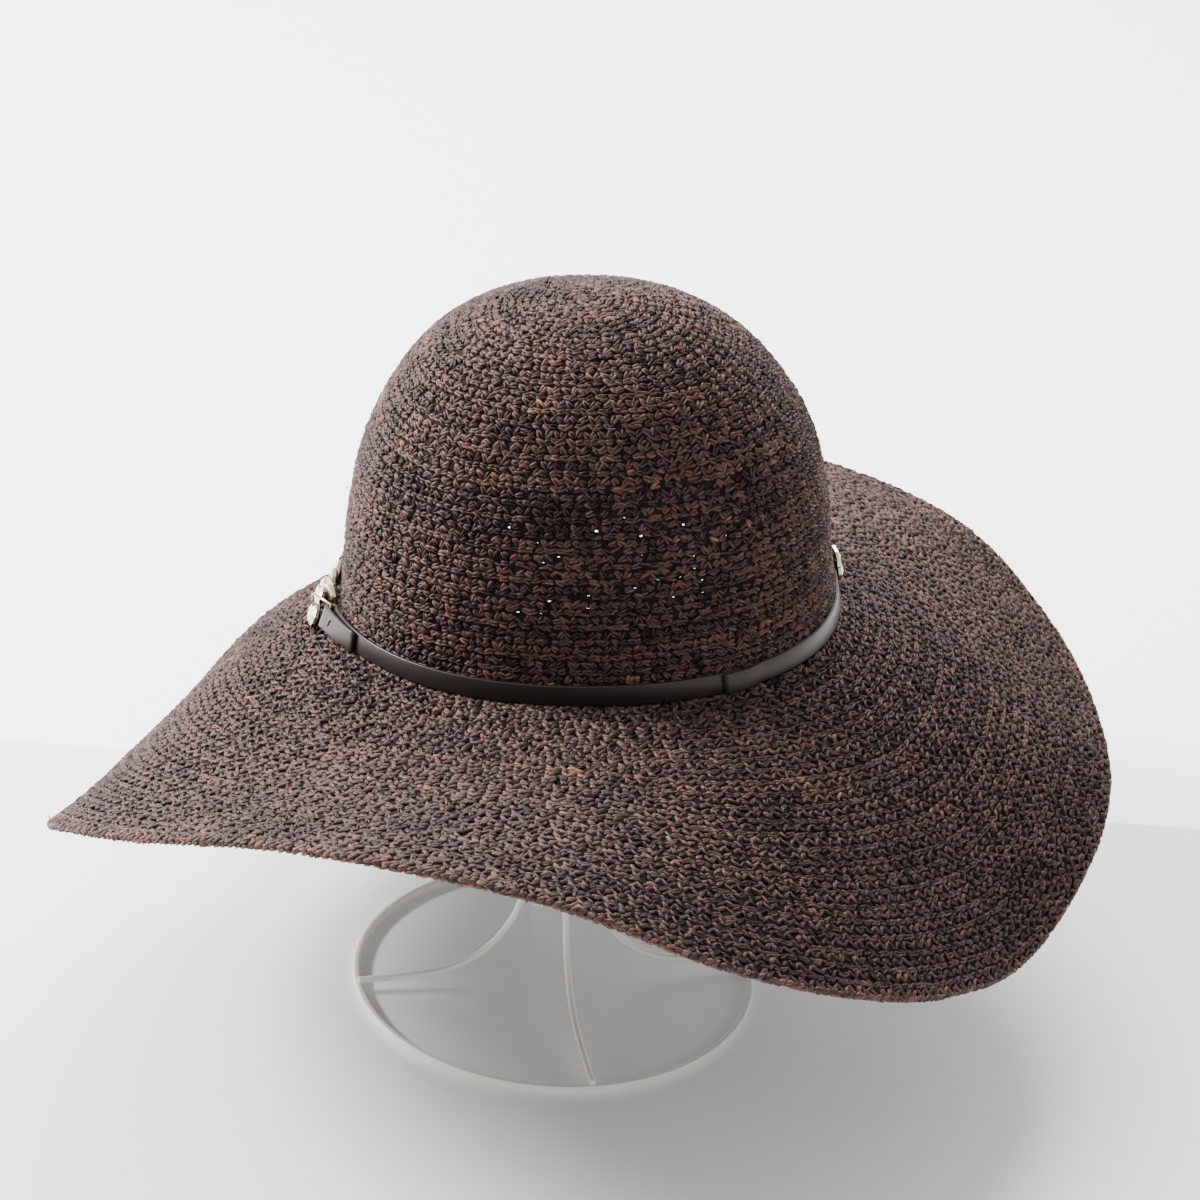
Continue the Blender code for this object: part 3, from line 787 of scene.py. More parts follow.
@dataclass(frozen=True)
class Crochet:
    """Rows of crochet stitches on a cloth, every stitch a few plump strands."""

    cloth: Cloth
    span: float
    start: float
    end: float
    seed: int
    row_pitch: float = 6.4 * MM
    stitch_pitch: float = 5.95 * MM
    sink: float = 0.2 * MM
    fan: float = 0.58 * MM
    splay: float = 10.0
    splay_spread: float = 4.0
    lay_spread: float = 12.0
    place_spread: float = 0.09
    lift_spread: float = 0.03
    size_spread: float = 0.16
    row_tone: float = 0.075
    stitch_tone: float = 0.08
    ply_tone: float = 0.12
    strand_tone: float = 0.10
    plies: tuple[Ply, ...] = (
        Ply(-0.24, 0.23, 44, 4.5 * MM, 1.80 * MM, 1.2 * MM),
        Ply(0.26, 0.24, -40, 4.5 * MM, 1.80 * MM, 1.2 * MM),
        Ply(-0.22, -0.24, 16, 4.6 * MM, 1.75 * MM, 1.2 * MM),
        Ply(0.28, -0.25, -18, 4.6 * MM, 1.75 * MM, 1.1 * MM),
    )

    def cloud(self, name: str, clear: np.ndarray | None = None,
              clear_radius: float = 0.0) -> bpy.types.Mesh:
        """Points of the strands.

        Args:
            name: the mesh's name.
            clear: points to keep strands away from.
            clear_radius: how far away.

        Returns:
            A mesh of points with the attributes that the strand tree reads.
        """
        dice = np.random.default_rng(self.seed)
        covered = self.end - self.start
        rows = max(1, round(self.span * covered / self.row_pitch))
        shares, angles, turns, sizes, tints = [], [], [], [], []
        for row in range(rows):
            middle = self.start + (row + 0.5) / rows * covered
            round_angles, walked = self.cloth.girth(middle)
            count = max(4, round(walked[-1] / self.stitch_pitch))
            phase = dice.random()
            tone = dice.normal(0, self.stitch_tone, count) + dice.normal(0, self.row_tone)
            for ply in self.plies:
                place = np.arange(count) + phase + ply.along + dice.normal(0, self.place_spread, count)
                lift = ply.up + dice.normal(0, self.lift_spread, count)
                lay = ply.turn + dice.normal(0, self.lay_spread, count)
                shade = tone + dice.normal(0, self.ply_tone, count)
                for side in (-1, 1):
                    turn = np.radians(lay + side * self.splay + dice.normal(0, self.splay_spread, count))
                    shift = side * self.fan * dice.uniform(0.8, 1.2, count)
                    walk = (place / count * walked[-1] - np.sin(turn) * shift) % walked[-1]
                    angles.append(np.interp(walk, walked, round_angles))
                    shares.append(middle + lift / rows * covered + np.cos(turn) * shift / self.span)
                    turns.append(turn)
                    grow = np.clip(dice.normal(1.0, self.size_spread, (count, 3)), 0.6, 1.45)
                    sizes.append(grow * np.array([ply.rise, ply.width / 2, ply.length / 2]))
                    tints.append(np.clip(0.5 + shade + dice.normal(0, self.strand_tone, count), 0, 1))
        share, angle, turn, tint = (np.concatenate(part) for part in (shares, angles, turns, tints))
        size = np.concatenate(sizes)
        points, along, across, out = self.cloth.frames(np.clip(share, 0, 1), angle)
        heading = along * np.cos(turn)[:, None] + across * np.sin(turn)[:, None]
        points = points - out * self.sink
        if clear is not None and len(clear):
            far = np.array([np.min(np.linalg.norm(clear - p, axis=1)) > clear_radius for p in points])
            points, heading, out, size, tint = (part[far] for part in (points, heading, out, size, tint))
        return point_mesh(name, points, {"along": heading, "out": out, "size": size, "tint": tint})


def point_mesh(name: str, points: np.ndarray, attributes: dict[str, np.ndarray]) -> bpy.types.Mesh:
    """Mesh of loose points with attributes, each a number or a vector per point."""
    mesh = bpy.data.meshes.new(name)
    mesh.from_pydata(points.tolist(), [], [])
    for key, values in attributes.items():
        kind = "FLOAT_VECTOR" if values.ndim == 2 else "FLOAT"
        layer = mesh.attributes.new(key, kind, "POINT")
        layer.data.foreach_set("vector" if values.ndim == 2 else "value", values.astype(np.float32).ravel())
    return mesh


@dataclass(frozen=True)
class StrawWall:
    """The straw's body under the stitches: two woven faces, an edge and pinholes."""

    cloth: Cloth
    rows: int
    columns: int
    closed_top: bool
    first: float = 0.0
    depth_out: float = 0.5 * MM
    depth_in: float = 2.2 * MM
    relief: float = 0.35 * MM
    top_gap: float = 0.004
    hole_share: float = 0.29
    hole_sizes: tuple[float, ...] = (0.6, 0.85, 1.1, 1.35)

    def grid(self, depth: float) -> np.ndarray:
        """Points of one face of the wall, row by row, with an alternating relief."""
        angles_fine, walked = self.cloth.girth(0.5)
        places = np.arange(self.columns) / self.columns * walked[-1]
        angles = np.interp(places, walked, angles_fine)
        last = 1.0 - (self.top_gap if self.closed_top else 0.0)
        shares = np.linspace(self.first, last, self.rows + 1)
        share = np.repeat(shares, self.columns)
        points, _, _, out = self.cloth.frames(share, np.tile(angles, self.rows + 1))
        checker = (np.arange(self.columns)[None, :] + np.arange(self.rows + 1)[:, None]) % 2 - 0.5
        lift = checker.ravel() * 2 * self.relief
        return points - out * (depth + lift * (-1 if depth > self.depth_out else 1))[:, None]

    def build(self, name: str, finish: bpy.types.Material,
              holes: Sequence[tuple[int, int]] = ()) -> bpy.types.Object:
        """Make the wall.

        Args:
            name: the piece's name.
            finish: its material.
            holes: cells, as row and column, that have a pinhole.

        Returns:
            The piece, a closed mesh.
        """
        outer = self.grid(self.depth_out)
        inner = self.grid(self.depth_in)
        points = list(np.vstack([outer, inner]))
        inside = len(outer)
        faces = []
        pierced = set(holes)
        for row in range(self.rows):
            for column in range(self.columns):
                after = (column + 1) % self.columns
                quad = [row * self.columns + column, row * self.columns + after,
                        (row + 1) * self.columns + after, (row + 1) * self.columns + column]
                if (row, column) in pierced:
                    self.pierce(points, faces, quad, inside)
                else:
                    faces.append(quad)
                    faces.append([i + inside for i in reversed(quad)])
        self.close(points, faces, inside)
        if self.cloth.outward < 0:
            faces = [face[::-1] for face in faces]
        mesh = mesh_of(name, np.array(points), faces)
        return new_object(name, mesh, finish)

    def pierce(self, points: list, faces: list, quad: Sequence[int], inside: int) -> None:
        """Leave a small hole through one cell; holes differ in size."""
        rings = []
        share = self.hole_share * self.hole_sizes[quad[0] % len(self.hole_sizes)]
        for shift in (0, inside):
            corners = np.array([points[i + shift] for i in quad])
            middle = corners.mean(axis=0)
            first = len(points)
            points.extend(middle + (corners - middle) * share)
            rings.append(list(range(first, first + 4)))
        top, bottom = rings
        for i in range(4):
            j = (i + 1) % 4
            faces.append([quad[i], quad[j], top[j], top[i]])
            faces.append([quad[j] + inside, quad[i] + inside, bottom[i], bottom[j]])
            faces.append([top[i], top[j], bottom[j], bottom[i]])

    def close(self, points: list, faces: list, inside: int) -> None:
        """Close the foot and the edge or the top."""
        for column in range(self.columns):
            after = (column + 1) % self.columns
            faces.append([after, column, column + inside, after + inside])
        base = self.rows * self.columns
        if self.closed_top:
            for shift, flip in ((0, False), (inside, True)):
                ring = [base + shift + column for column in range(self.columns)]
                first = len(points)
                points.append(np.mean([points[i] for i in ring], axis=0))
                for i in range(self.columns):
                    j = (i + 1) % self.columns
                    tri = [ring[i], ring[j], first]
                    faces.append(tri[::-1] if flip else tri)
            return
        for column in range(self.columns):
            after = (column + 1) % self.columns
            faces.append([base + column, base + after, base + after + inside, base + column + inside])

    def middles(self, cells: Sequence[tuple[int, int]]) -> np.ndarray:
        """Middles of cells on the outer face."""
        grid = self.grid(self.depth_out).reshape(self.rows + 1, self.columns, 3)
        found = [grid[r:r + 2, [c, (c + 1) % self.columns]].reshape(-1, 3).mean(axis=0) for r, c in cells]
        return np.array(found)


class ClothPart(NamedTuple):
    """One piece of crochet: its name, the shares of the cloth it covers, and its seed."""

    name: str
    start: float
    end: float
    seed: int


@dataclass(frozen=True)
class Crown:
    """The crown: a pierced straw wall under three pieces of crochet."""

    rows: int = 70
    columns: int = 190
    pinholes: int = 100
    hole_clear: float = 1.6 * MM
    hole_low: float = 0.20
    hole_high: float = 0.49
    hole_from: float = -110.0
    hole_to: float = -38.0
    hole_seed: int = 11
    parts: tuple[ClothPart, ...] = (
        ClothPart("crown_stitches_low", 0.0, 0.34, 21),
        ClothPart("crown_stitches_middle", 0.34, 0.67, 22),
        ClothPart("crown_stitches_high", 0.67, 1.0, 23),
    )

    def hole_cells(self, wall: StrawWall) -> list[tuple[int, int]]:
        """Pick the cells with pinholes, in the lower rows of the crown's front."""
        dice = np.random.default_rng(self.hole_seed)
        fine, walked = wall.cloth.girth(0.5)
        places = np.degrees(np.interp(np.arange(self.columns) / self.columns * walked[-1], walked, fine))
        columns = np.flatnonzero((places > self.hole_from) & (places < self.hole_to))
        rows = np.arange(int(self.hole_low * self.rows), int(self.hole_high * self.rows))
        cells = []
        for pick in dice.permutation(len(rows) * len(columns)):
            row = int(rows[pick // len(columns)])
            column = int(columns[pick % len(columns)])
            apart = all(abs(row - r) > 1 or abs(column - c) > 1 for r, c in cells)
            if len(cells) < self.pinholes and apart:
                cells.append((row, column))
        return sorted(cells)

    def build(self, strands: bpy.types.Material, ground: bpy.types.Material) -> None:
        """Make the crown's pieces."""
        wall = StrawWall(CROWN_CLOTH, self.rows, self.columns, closed_top=True)
        cells = self.hole_cells(wall)
        finished(wall.build("crown_wall", ground, cells), Slot.RAFFIA, "crown")
        clear = wall.middles(cells)
        tree = StrandTree("crown_strands")
        rise = SHAPE.rise()
        for part in self.parts:
            crochet = Crochet(CROWN_CLOTH, rise, part.start, part.end, part.seed)
            cloud = crochet.cloud(part.name, clear, self.hole_clear)
            finished(tree.apply(part.name, cloud, strands), Slot.RAFFIA)


class CordRow(NamedTuple):
    """One row of strands along an edge: its place, its slant, and its size and tint."""

    tilt: float
    depth: float
    proud: float
    slant: float
    slant_spread: float
    size: tuple[float, float, float]
    tint: float
    tint_spread: float


EDGE_SIZE = (1.0 * MM, 1.15 * MM, 2.3 * MM)


@dataclass(frozen=True)
class Brim:
    """The brim: a straw wall under four pieces of crochet, with a join row and a corded edge."""

    rows: int = 30
    columns: int = 300
    cord_pitch: float = 3.2 * MM
    join_row: CordRow = CordRow(45, 0.0, -0.9 * MM, 12, 12, (1.2 * MM, 1.3 * MM, 2.5 * MM), 0.4, 0.15)
    join_seed: int = 35
    edge_rows: tuple[CordRow, ...] = (
        CordRow(50, 0.4 * MM, 0.1 * MM, 24, 10, EDGE_SIZE, 0.62, 0.2),
        CordRow(0, 1.2 * MM, 0.1 * MM, -20, 10, EDGE_SIZE, 0.62, 0.2),
        CordRow(-50, 2.0 * MM, 0.1 * MM, 24, 10, EDGE_SIZE, 0.62, 0.2),
    )
    edge_seed: int = 34
    parts: tuple[ClothPart, ...] = (
        ClothPart("brim_stitches_inner", 0.0, 0.33, 31),
        ClothPart("brim_stitches_middle", 0.33, 0.60, 32),
        ClothPart("brim_stitches_outer", 0.60, 0.82, 33),
        ClothPart("brim_stitches_edge", 0.82, 1.0, 36),
    )

    def build(self, strands: bpy.types.Material, ground: bpy.types.Material) -> None:
        """Make the brim's pieces."""
        under_crown = -SHAPE.wall / SHAPE.brim_width
        wall = StrawWall(BRIM_CLOTH, self.rows, self.columns, closed_top=False, first=under_crown)
        finished(wall.build("brim_wall", ground), Slot.RAFFIA, "brim")
        tree = StrandTree("brim_strands")
        cloud = self.cord_cloud("join_row", 0.0, (self.join_row,), self.join_seed, phased=False)
        finished(tree.apply("join_row", cloud, strands), Slot.RAFFIA)
        for part in self.parts:
            crochet = Crochet(BRIM_CLOTH, SHAPE.brim_width, part.start, part.end, part.seed)
            finished(tree.apply(part.name, crochet.cloud(part.name), strands), Slot.RAFFIA)
        cloud = self.cord_cloud("brim_edge_cord", 1.0, self.edge_rows, self.edge_seed, phased=True)
        finished(tree.apply("brim_edge_cord", cloud, strands), Slot.RAFFIA)

    def cord_cloud(self, name: str, share: float, rows: Sequence[CordRow], seed: int,
                   phased: bool) -> bpy.types.Mesh:
        """Points of the strands along one edge of the brim.

        Args:
            name: the mesh's name.
            share: 0 for the edge at the crown's foot, 1 for the outer edge.
            rows: rows of strands that lie beside each other.
            seed: seed of their unevenness.
            phased: whether each row starts at a place of its own.

        Returns:
            A mesh of points with the attributes that the strand tree reads.
        """
        dice = np.random.default_rng(seed)
        fine, walked = BRIM_CLOTH.girth(share)
        count = round(walked[-1] / self.cord_pitch)
        parts: dict[str, list[np.ndarray]] = {"points": [], "along": [], "out": [], "size": [], "tint": []}
        for row in rows:
            phase = dice.random() if phased else 0.0
            place = (np.arange(count) + phase + dice.normal(0, 0.1, count)) % count
            angle = np.interp(place / count * walked[-1], walked, fine)
            points, along, across, out = BRIM_CLOTH.frames(np.full(count, share), angle)
            outer = -across if self.points_in(points, across) else across
            tilt = math.radians(row.tilt)
            face = outer * math.cos(tilt) + out * math.sin(tilt)
            over = np.cross(face, along)
            slants = np.radians(row.slant + dice.normal(0, row.slant_spread, count))
            grow = np.clip(dice.normal(1.0, 0.12, (count, 3)), 0.7, 1.3)
            parts["points"].append(points - out * row.depth + outer * row.proud)
            parts["along"].append(along * np.cos(slants)[:, None] + over * np.sin(slants)[:, None])
            parts["out"].append(face)
            parts["size"].append(grow * np.array(row.size))
            parts["tint"].append(np.clip(dice.normal(row.tint, row.tint_spread, count), 0, 1))
        whole = {key: np.concatenate(value) for key, value in parts.items()}
        return point_mesh(name, whole.pop("points"), whole)

    @staticmethod
    def points_in(points: np.ndarray, across: np.ndarray) -> bool:
        """Whether the directions across the rows point towards the hat's middle."""
        return float(((points - points.mean(axis=0)) * across).sum()) < 0


class StrapRun(NamedTuple):
    """One point of a strap's path: its angle in degrees and its distance off the straw."""

    angle: float
    out: float


@dataclass(frozen=True)
class Strap:
    """The leather strap in two pieces, with turned ends in the left ornament's hooks."""

    height: float = 8.6 * MM
    thickness: float = 1.3 * MM
    lift: float = 0.4 * MM
    gap: float = 0.3 * MM
    bar_radius: float = 0.65 * MM
    loop_slack: float = 0.3 * MM
    corner: float = 0.42 * MM
    step: float = 1.4
    turn_points: int = 13
    tail_points: int = 10
    left_end: float = -168
    left_tail: float = -152
    seam: float = -59
    seam_lap: float = 5
    lap_ease: float = 6
    back_end: float = 162
    back_tail: float = 150
    stitch_at: float = -164.0
    stitch_radius: float = 0.36 * MM
    stitch_route: tuple[tuple[float, float], ...] = ((0.36, -0.2), (0.5, 0.0), (0.64, 0.1), (0.68, 0.5))
    stand_offs: tuple[StandOff, ...] = (
        StandOff(-168, 0.62, 0.30),
        StandOff(-160, 0.38, 0.20),
        StandOff(-152, 0.14, 0.06),
        StandOff(-144, 0.03, 0.00),
        StandOff(-135, 0.00, 0.00),
        StandOff(-10, 0.00, 0.00),
        StandOff(60, 0.00, 0.00),
        StandOff(140, 0.00, 0.00),
        StandOff(150, 0.08, 0.00),
        StandOff(162, 0.20, 0.00),
        StandOff(177, 0.55, 0.20),
    )

    def loop_radius(self) -> float:
        """Radius of the leather's middle where it turns round a hook's bar."""
        return self.bar_radius + self.gap + self.loop_slack + self.thickness / 2

    def stand_off(self, degrees: np.ndarray) -> np.ndarray:
        """Distance from the straw to the leather's middle at its lower edge."""
        foot = round_read(self.stand_offs, degrees)[..., 0]
        return self.gap + self.thickness / 2 + np.maximum(foot, 0.0) * self.height

    def lean(self, degrees: np.ndarray) -> np.ndarray:
        """How much closer to the straw the upper edge comes."""
        return np.maximum(round_read(self.stand_offs, degrees)[..., 1], 0.0) * self.height

    def rate(self, degrees: float) -> float:
        """Degrees round the crown per metre of strap."""
        near = SHAPE.beside(degrees, 0.0, 0.0)
        far = SHAPE.beside(degrees + 0.5, 0.0, 0.0)
        return 0.5 / float(np.linalg.norm(far - near))

    def plain_run(self, start: float, end: float) -> list[StrapRun]:
        """Path between two angles."""
        angles = np.linspace(start, end, max(2, round(abs(end - start) / self.step) + 1))
        return [StrapRun(float(a), float(self.stand_off(a))) for a in angles]

    def turned_end(self, end: float, way: int, tail_end: float) -> list[StrapRun]:
        """Path of an end that turns round a bar and lies back on itself.

        Args:
            end: angle of the bar.
            way: 1 where the strap arrives with rising angle, -1 where it arrives with falling angle.
            tail_end: angle where the tail stops.

        Returns:
            The path from the bar to the tail's end.
        """
        radius = self.loop_radius()
        rate = self.rate(end)
        base = float(self.stand_off(end))
        path = [StrapRun(end + way * radius * math.sin(t) * rate, base + radius * (1 - math.cos(t)))
                for t in np.linspace(0, math.pi, self.turn_points)]
        layer = self.thickness + self.gap
        for share in np.linspace(0.1, 1.0, self.tail_points):
            degrees = end + (tail_end - end) * share
            ease = share**0.5
            out = float(self.stand_off(degrees)) + 2 * radius * (1 - ease) + layer * ease
            path.append(StrapRun(degrees, out))
        return path

    def sweep(self, name: str, path: Sequence[StrapRun]) -> bpy.types.Mesh:
        """Sweep the section along a path.

        Args:
            name: the mesh's name.
            path: the path.

        Returns:
            A closed mesh.
        """
        angles = np.array([run.angle for run in path])
        outs = np.array([run.out for run in path])
        rate = np.array([self.rate(a) for a in angles])
        walked = np.concatenate([[0], np.cumsum(np.diff(angles) / ((rate[1:] + rate[:-1]) / 2))])
        step_along = np.gradient(walked)
        step_out = np.gradient(outs)
        length = np.hypot(step_along, step_out)
        across_along = -step_out / length
        across_out = step_along / length
        rows = []
        for across, up in rounded_section(self.thickness, self.height, self.corner):
            degrees = angles + across * across_along * rate
            out = outs + across * across_out - up / self.height * self.lean(angles)
            height = np.full_like(degrees, self.lift + up)
            points, normals = SHAPE.side(np.radians(degrees), height)
            rows.append(SHAPE.seated(points + normals * out[:, None]))
        grid = np.array(rows)
        sides, count = grid.shape[:2]
        faces = []
        for i in range(sides):
            j = (i + 1) % sides
            for k in range(count - 1):
                faces.append([i * count + k, i * count + k + 1, j * count + k + 1, j * count + k])
        faces.append([i * count for i in range(sides)])
        faces.append([i * count + count - 1 for i in reversed(range(sides))])
        return outward(mesh_of(name, grid.reshape(-1, 3), faces))

    def lap_rise(self, degrees: float) -> float:
        """Extra distance off the straw of the piece that lies over the other at the seam."""
        past = min(max((degrees - self.seam - self.seam_lap - 1) / self.lap_ease, 0.0), 1.0)
        return (self.thickness + self.gap) * (1 - past * past * (3 - 2 * past))

    def build(self, finish: bpy.types.Material) -> None:
        """Make both pieces."""
        front = self.turned_end(self.left_end, -1, self.left_tail)[::-1]
        front += self.plain_run(self.left_end, self.seam + self.seam_lap)[1:]
        back = [StrapRun(run.angle, run.out + self.lap_rise(run.angle))
                for run in self.plain_run(self.seam, self.back_end)]
        back += self.turned_end(self.back_end, 1, self.back_tail)[1:]
        for name, path in (("strap_front", front), ("strap_back", back)):
            made = new_object(f"{name}_leather", self.sweep(name, path), finish)
            finished(made, Slot.LEATHER, name)
        self.stitch(front[:self.tail_points][::-1])

    def stitch(self, tail: Sequence[StrapRun]) -> None:
        """Make the thread that shows on the front strap's turned end.

        Args:
            tail: the end's outer layer, with rising angle.
        """
        out = float(np.interp(self.stitch_at, [run.angle for run in tail], [run.out for run in tail]))
        route = []
        for share, turn in self.stitch_route:
            degrees = self.stitch_at + turn
            leaned = out + self.thickness / 2 - share * float(self.lean(degrees))
            route.append(SHAPE.beside(degrees, leaned, self.lift + share * self.height))
        thread = wire("strap_stitch", SHAPE.seated(np.array(route)), self.stitch_radius)
        finished(new_object("strap_stitch", thread, THREAD.build()), Slot.LEATHER)


@dataclass(frozen=True)
class Nugget:
    """One hammered nugget: place beside the crown, size, and the turns of its face."""

    angle: float
    out: float
    up: float
    length: float
    height: float
    tip: float
    turn: float


@dataclass(frozen=True)
class Ornaments:
    """Two groups of hammered nuggets, soldered together; the left one has hooks in the strap ends."""

    strap: Strap
    length: float = 14 * MM
    height: float = 13 * MM
    thickness: float = 3.4 * MM
    rings: tuple[tuple[int, tuple[tuple[float, float], ...]], ...] = (
        (11, ((1.0, 0.35), (1.0, -0.35))),
        (7, ((0.68, 1.0), (0.68, -1.0))),
    )
    uneven_turn: float = 0.2
    least_reach: float = 0.9
    left: tuple[Nugget, ...] = (
        Nugget(-173.8, 1.36, 0.10, 0.95, 0.84, 24, 4),
        Nugget(-179.2, 1.12, 0.46, 0.85, 0.80, 24, 8),
        Nugget(-178.2, 0.70, 0.66, 0.95, 1.10, 8, 36),
        Nugget(175.4, 0.66, 0.56, 0.90, 0.85, 10, 10),
        Nugget(169.8, 0.60, 0.52, 0.90, 0.90, 8, 6),
    )
    right: tuple[Nugget, ...] = (
        Nugget(15.0, 0.43, 0.86, 1.00, 0.95, 2, 0),
        Nugget(13.5, 0.43, 0.44, 0.70, 0.70, 2, 0),
    )

    def middle(self, nugget: Nugget) -> np.ndarray:
        """Middle of a nugget in the hat's frame."""
        return SHAPE.beside(nugget.angle, nugget.out * self.strap.height, nugget.up * self.strap.height)

    def plate(self, nugget: Nugget, seed: int) -> bpy.types.Mesh:
        """One nugget: a flat pebble with hammered facets.

        Args:
            nugget: its row of the table.
            seed: seed of its facets.

        Returns:
            A closed mesh in the floor's frame.
        """
        dice = np.random.default_rng(seed)
        spots = []
        for count, levels in self.rings:
            slip = dice.uniform(-self.uneven_turn, self.uneven_turn, count)
            turns = (np.arange(count) + slip) / count * 2 * math.pi
            uneven = dice.uniform(self.least_reach, 1.0, count)
            for reach, rise in levels:
                for turn, share in zip(turns, uneven * reach):
                    spots.append((share * math.cos(turn), rise, share * math.sin(turn)))
        work = bmesh.new()
        for spot in spots:
            work.verts.new(spot)
        bmesh.ops.convex_hull(work, input=work.verts)
        inner = [vert for vert in work.verts if not vert.link_faces]
        bmesh.ops.delete(work, geom=inner, context="VERTS")
        half = (nugget.length * self.length / 2, self.thickness / 2, nugget.height * self.height / 2, 1.0)
        _, normal = SHAPE.side(np.array([math.radians(nugget.angle)]), np.array([0.0]))
        facing = math.atan2(normal[0, 1], normal[0, 0]) - math.pi / 2 + math.radians(nugget.turn)
        tip = Matrix.Rotation(math.radians(nugget.tip), 4, "X")
        place = Matrix.Translation(Vector(self.middle(nugget))) @ Matrix.Rotation(facing, 4, "Z") @ tip
        work.transform(SHAPE.seat() @ place @ Matrix.Diagonal(half))
        mesh = bpy.data.meshes.new("plate")
        work.to_mesh(mesh)
        work.free()
        return outward(mesh)

    def hook(self, degrees: float) -> list[np.ndarray]:
        """Upright bar inside a strap end and the bend over the strap's upper edge."""
        strap = self.strap
        out = float(strap.stand_off(degrees)) + strap.loop_radius()
        high = strap.lift + strap.height + strap.gap + strap.bar_radius
        top = SHAPE.beside(degrees, out - float(strap.lean(degrees)), high)
        return [SHAPE.beside(degrees, out, strap.lift + strap.bar_radius), top]

    def link(self, nuggets: Sequence[Nugget], ends: Sequence[float]) -> list[np.ndarray]:
        """Route of the wire that joins the nuggets, with a hook at each end."""
        route = [self.middle(nugget) for nugget in nuggets]
        if ends:
            first, last = (self.hook(degrees) for degrees in ends)
            for bar, near in ((first, route[0]), (last, route[-1])):
                bar.append(np.array([near[0], near[1], bar[1][2]]))
            route = first + route + last[::-1]
        return [SHAPE.seated(point[None])[0] for point in route]

    def build(self, finish: bpy.types.Material) -> None:
        """Make both ornaments."""
        groups = (("ornament_left", self.left, (self.strap.left_end, self.strap.back_end), 40),
                  ("ornament_right", self.right, (), 60))
        for name, nuggets, ends, seed in groups:
            plates = [self.plate(nugget, seed + i) for i, nugget in enumerate(nuggets)]
            link = wire(f"{name}_link", self.link(nuggets, ends), self.strap.bar_radius, smooth_path=False)
            made = new_object(f"{name}_nuggets", joined(name, [*plates, link]), finish)
            finished(made, Slot.METAL, name)


class Tuft(NamedTuple):
    """A few loose fibres that stand out of the cloth at one place."""

    share: float
    degrees: float
    count: int
    spread: float


@dataclass(frozen=True)
class LooseFibres:
    """Fine fibre ends that have worked out of the crochet at the crown's top and the brim's edge."""

    radius: float = 0.13 * MM
    length: float = 2.6 * MM
    root: float = 0.8 * MM
    lean: float = 0.7
    shortest: float = 0.6
    longest: float = 1.3
    on_crown: tuple[Tuft, ...] = (
        Tuft(0.985, 60, 9, 30), Tuft(0.93, 110, 4, 14), Tuft(0.80, 35, 5, 6), Tuft(0.62, 15, 3, 5),
        Tuft(0.30, -176, 3, 5), Tuft(0.55, -170, 3, 6), Tuft(0.86, 160, 4, 10),
    )
    on_brim: tuple[Tuft, ...] = (
        Tuft(0.995, -157, 5, 3), Tuft(0.99, -165, 4, 3), Tuft(0.99, 20, 3, 6), Tuft(0.99, 95, 3, 10),
    )

    def build(self, finish: bpy.types.Material) -> None:
        """Make the fibres of the crown and of the brim."""
        groups = (("crown_fibres", CROWN_CLOTH, self.on_crown, 71),
                  ("brim_fibres", BRIM_CLOTH, self.on_brim, 72))
        for name, cloth, tufts, seed in groups:
            dice = np.random.default_rng(seed)
            hairs = []
            for tuft in tufts:
                degrees = tuft.degrees + dice.normal(0, tuft.spread, tuft.count)
                share = np.full(tuft.count, tuft.share)
                points, along, across, out = cloth.frames(share, np.radians(degrees))
                for k in range(tuft.count):
                    side = along[k] * dice.normal(0, self.lean) + across[k] * dice.normal(0, self.lean)
                    reach = self.length * dice.uniform(self.shortest, self.longest)
                    bend = points[k] + out[k] * reach * 0.5 + side * reach * 0.25
                    route = [points[k] - out[k] * self.root, bend, points[k] + out[k] * reach + side * reach]
                    hairs.append(wire(name, route, self.radius, smooth_path=False, roundness=0))
            finished(new_object(name, joined(name, hairs), finish), Slot.RAFFIA)


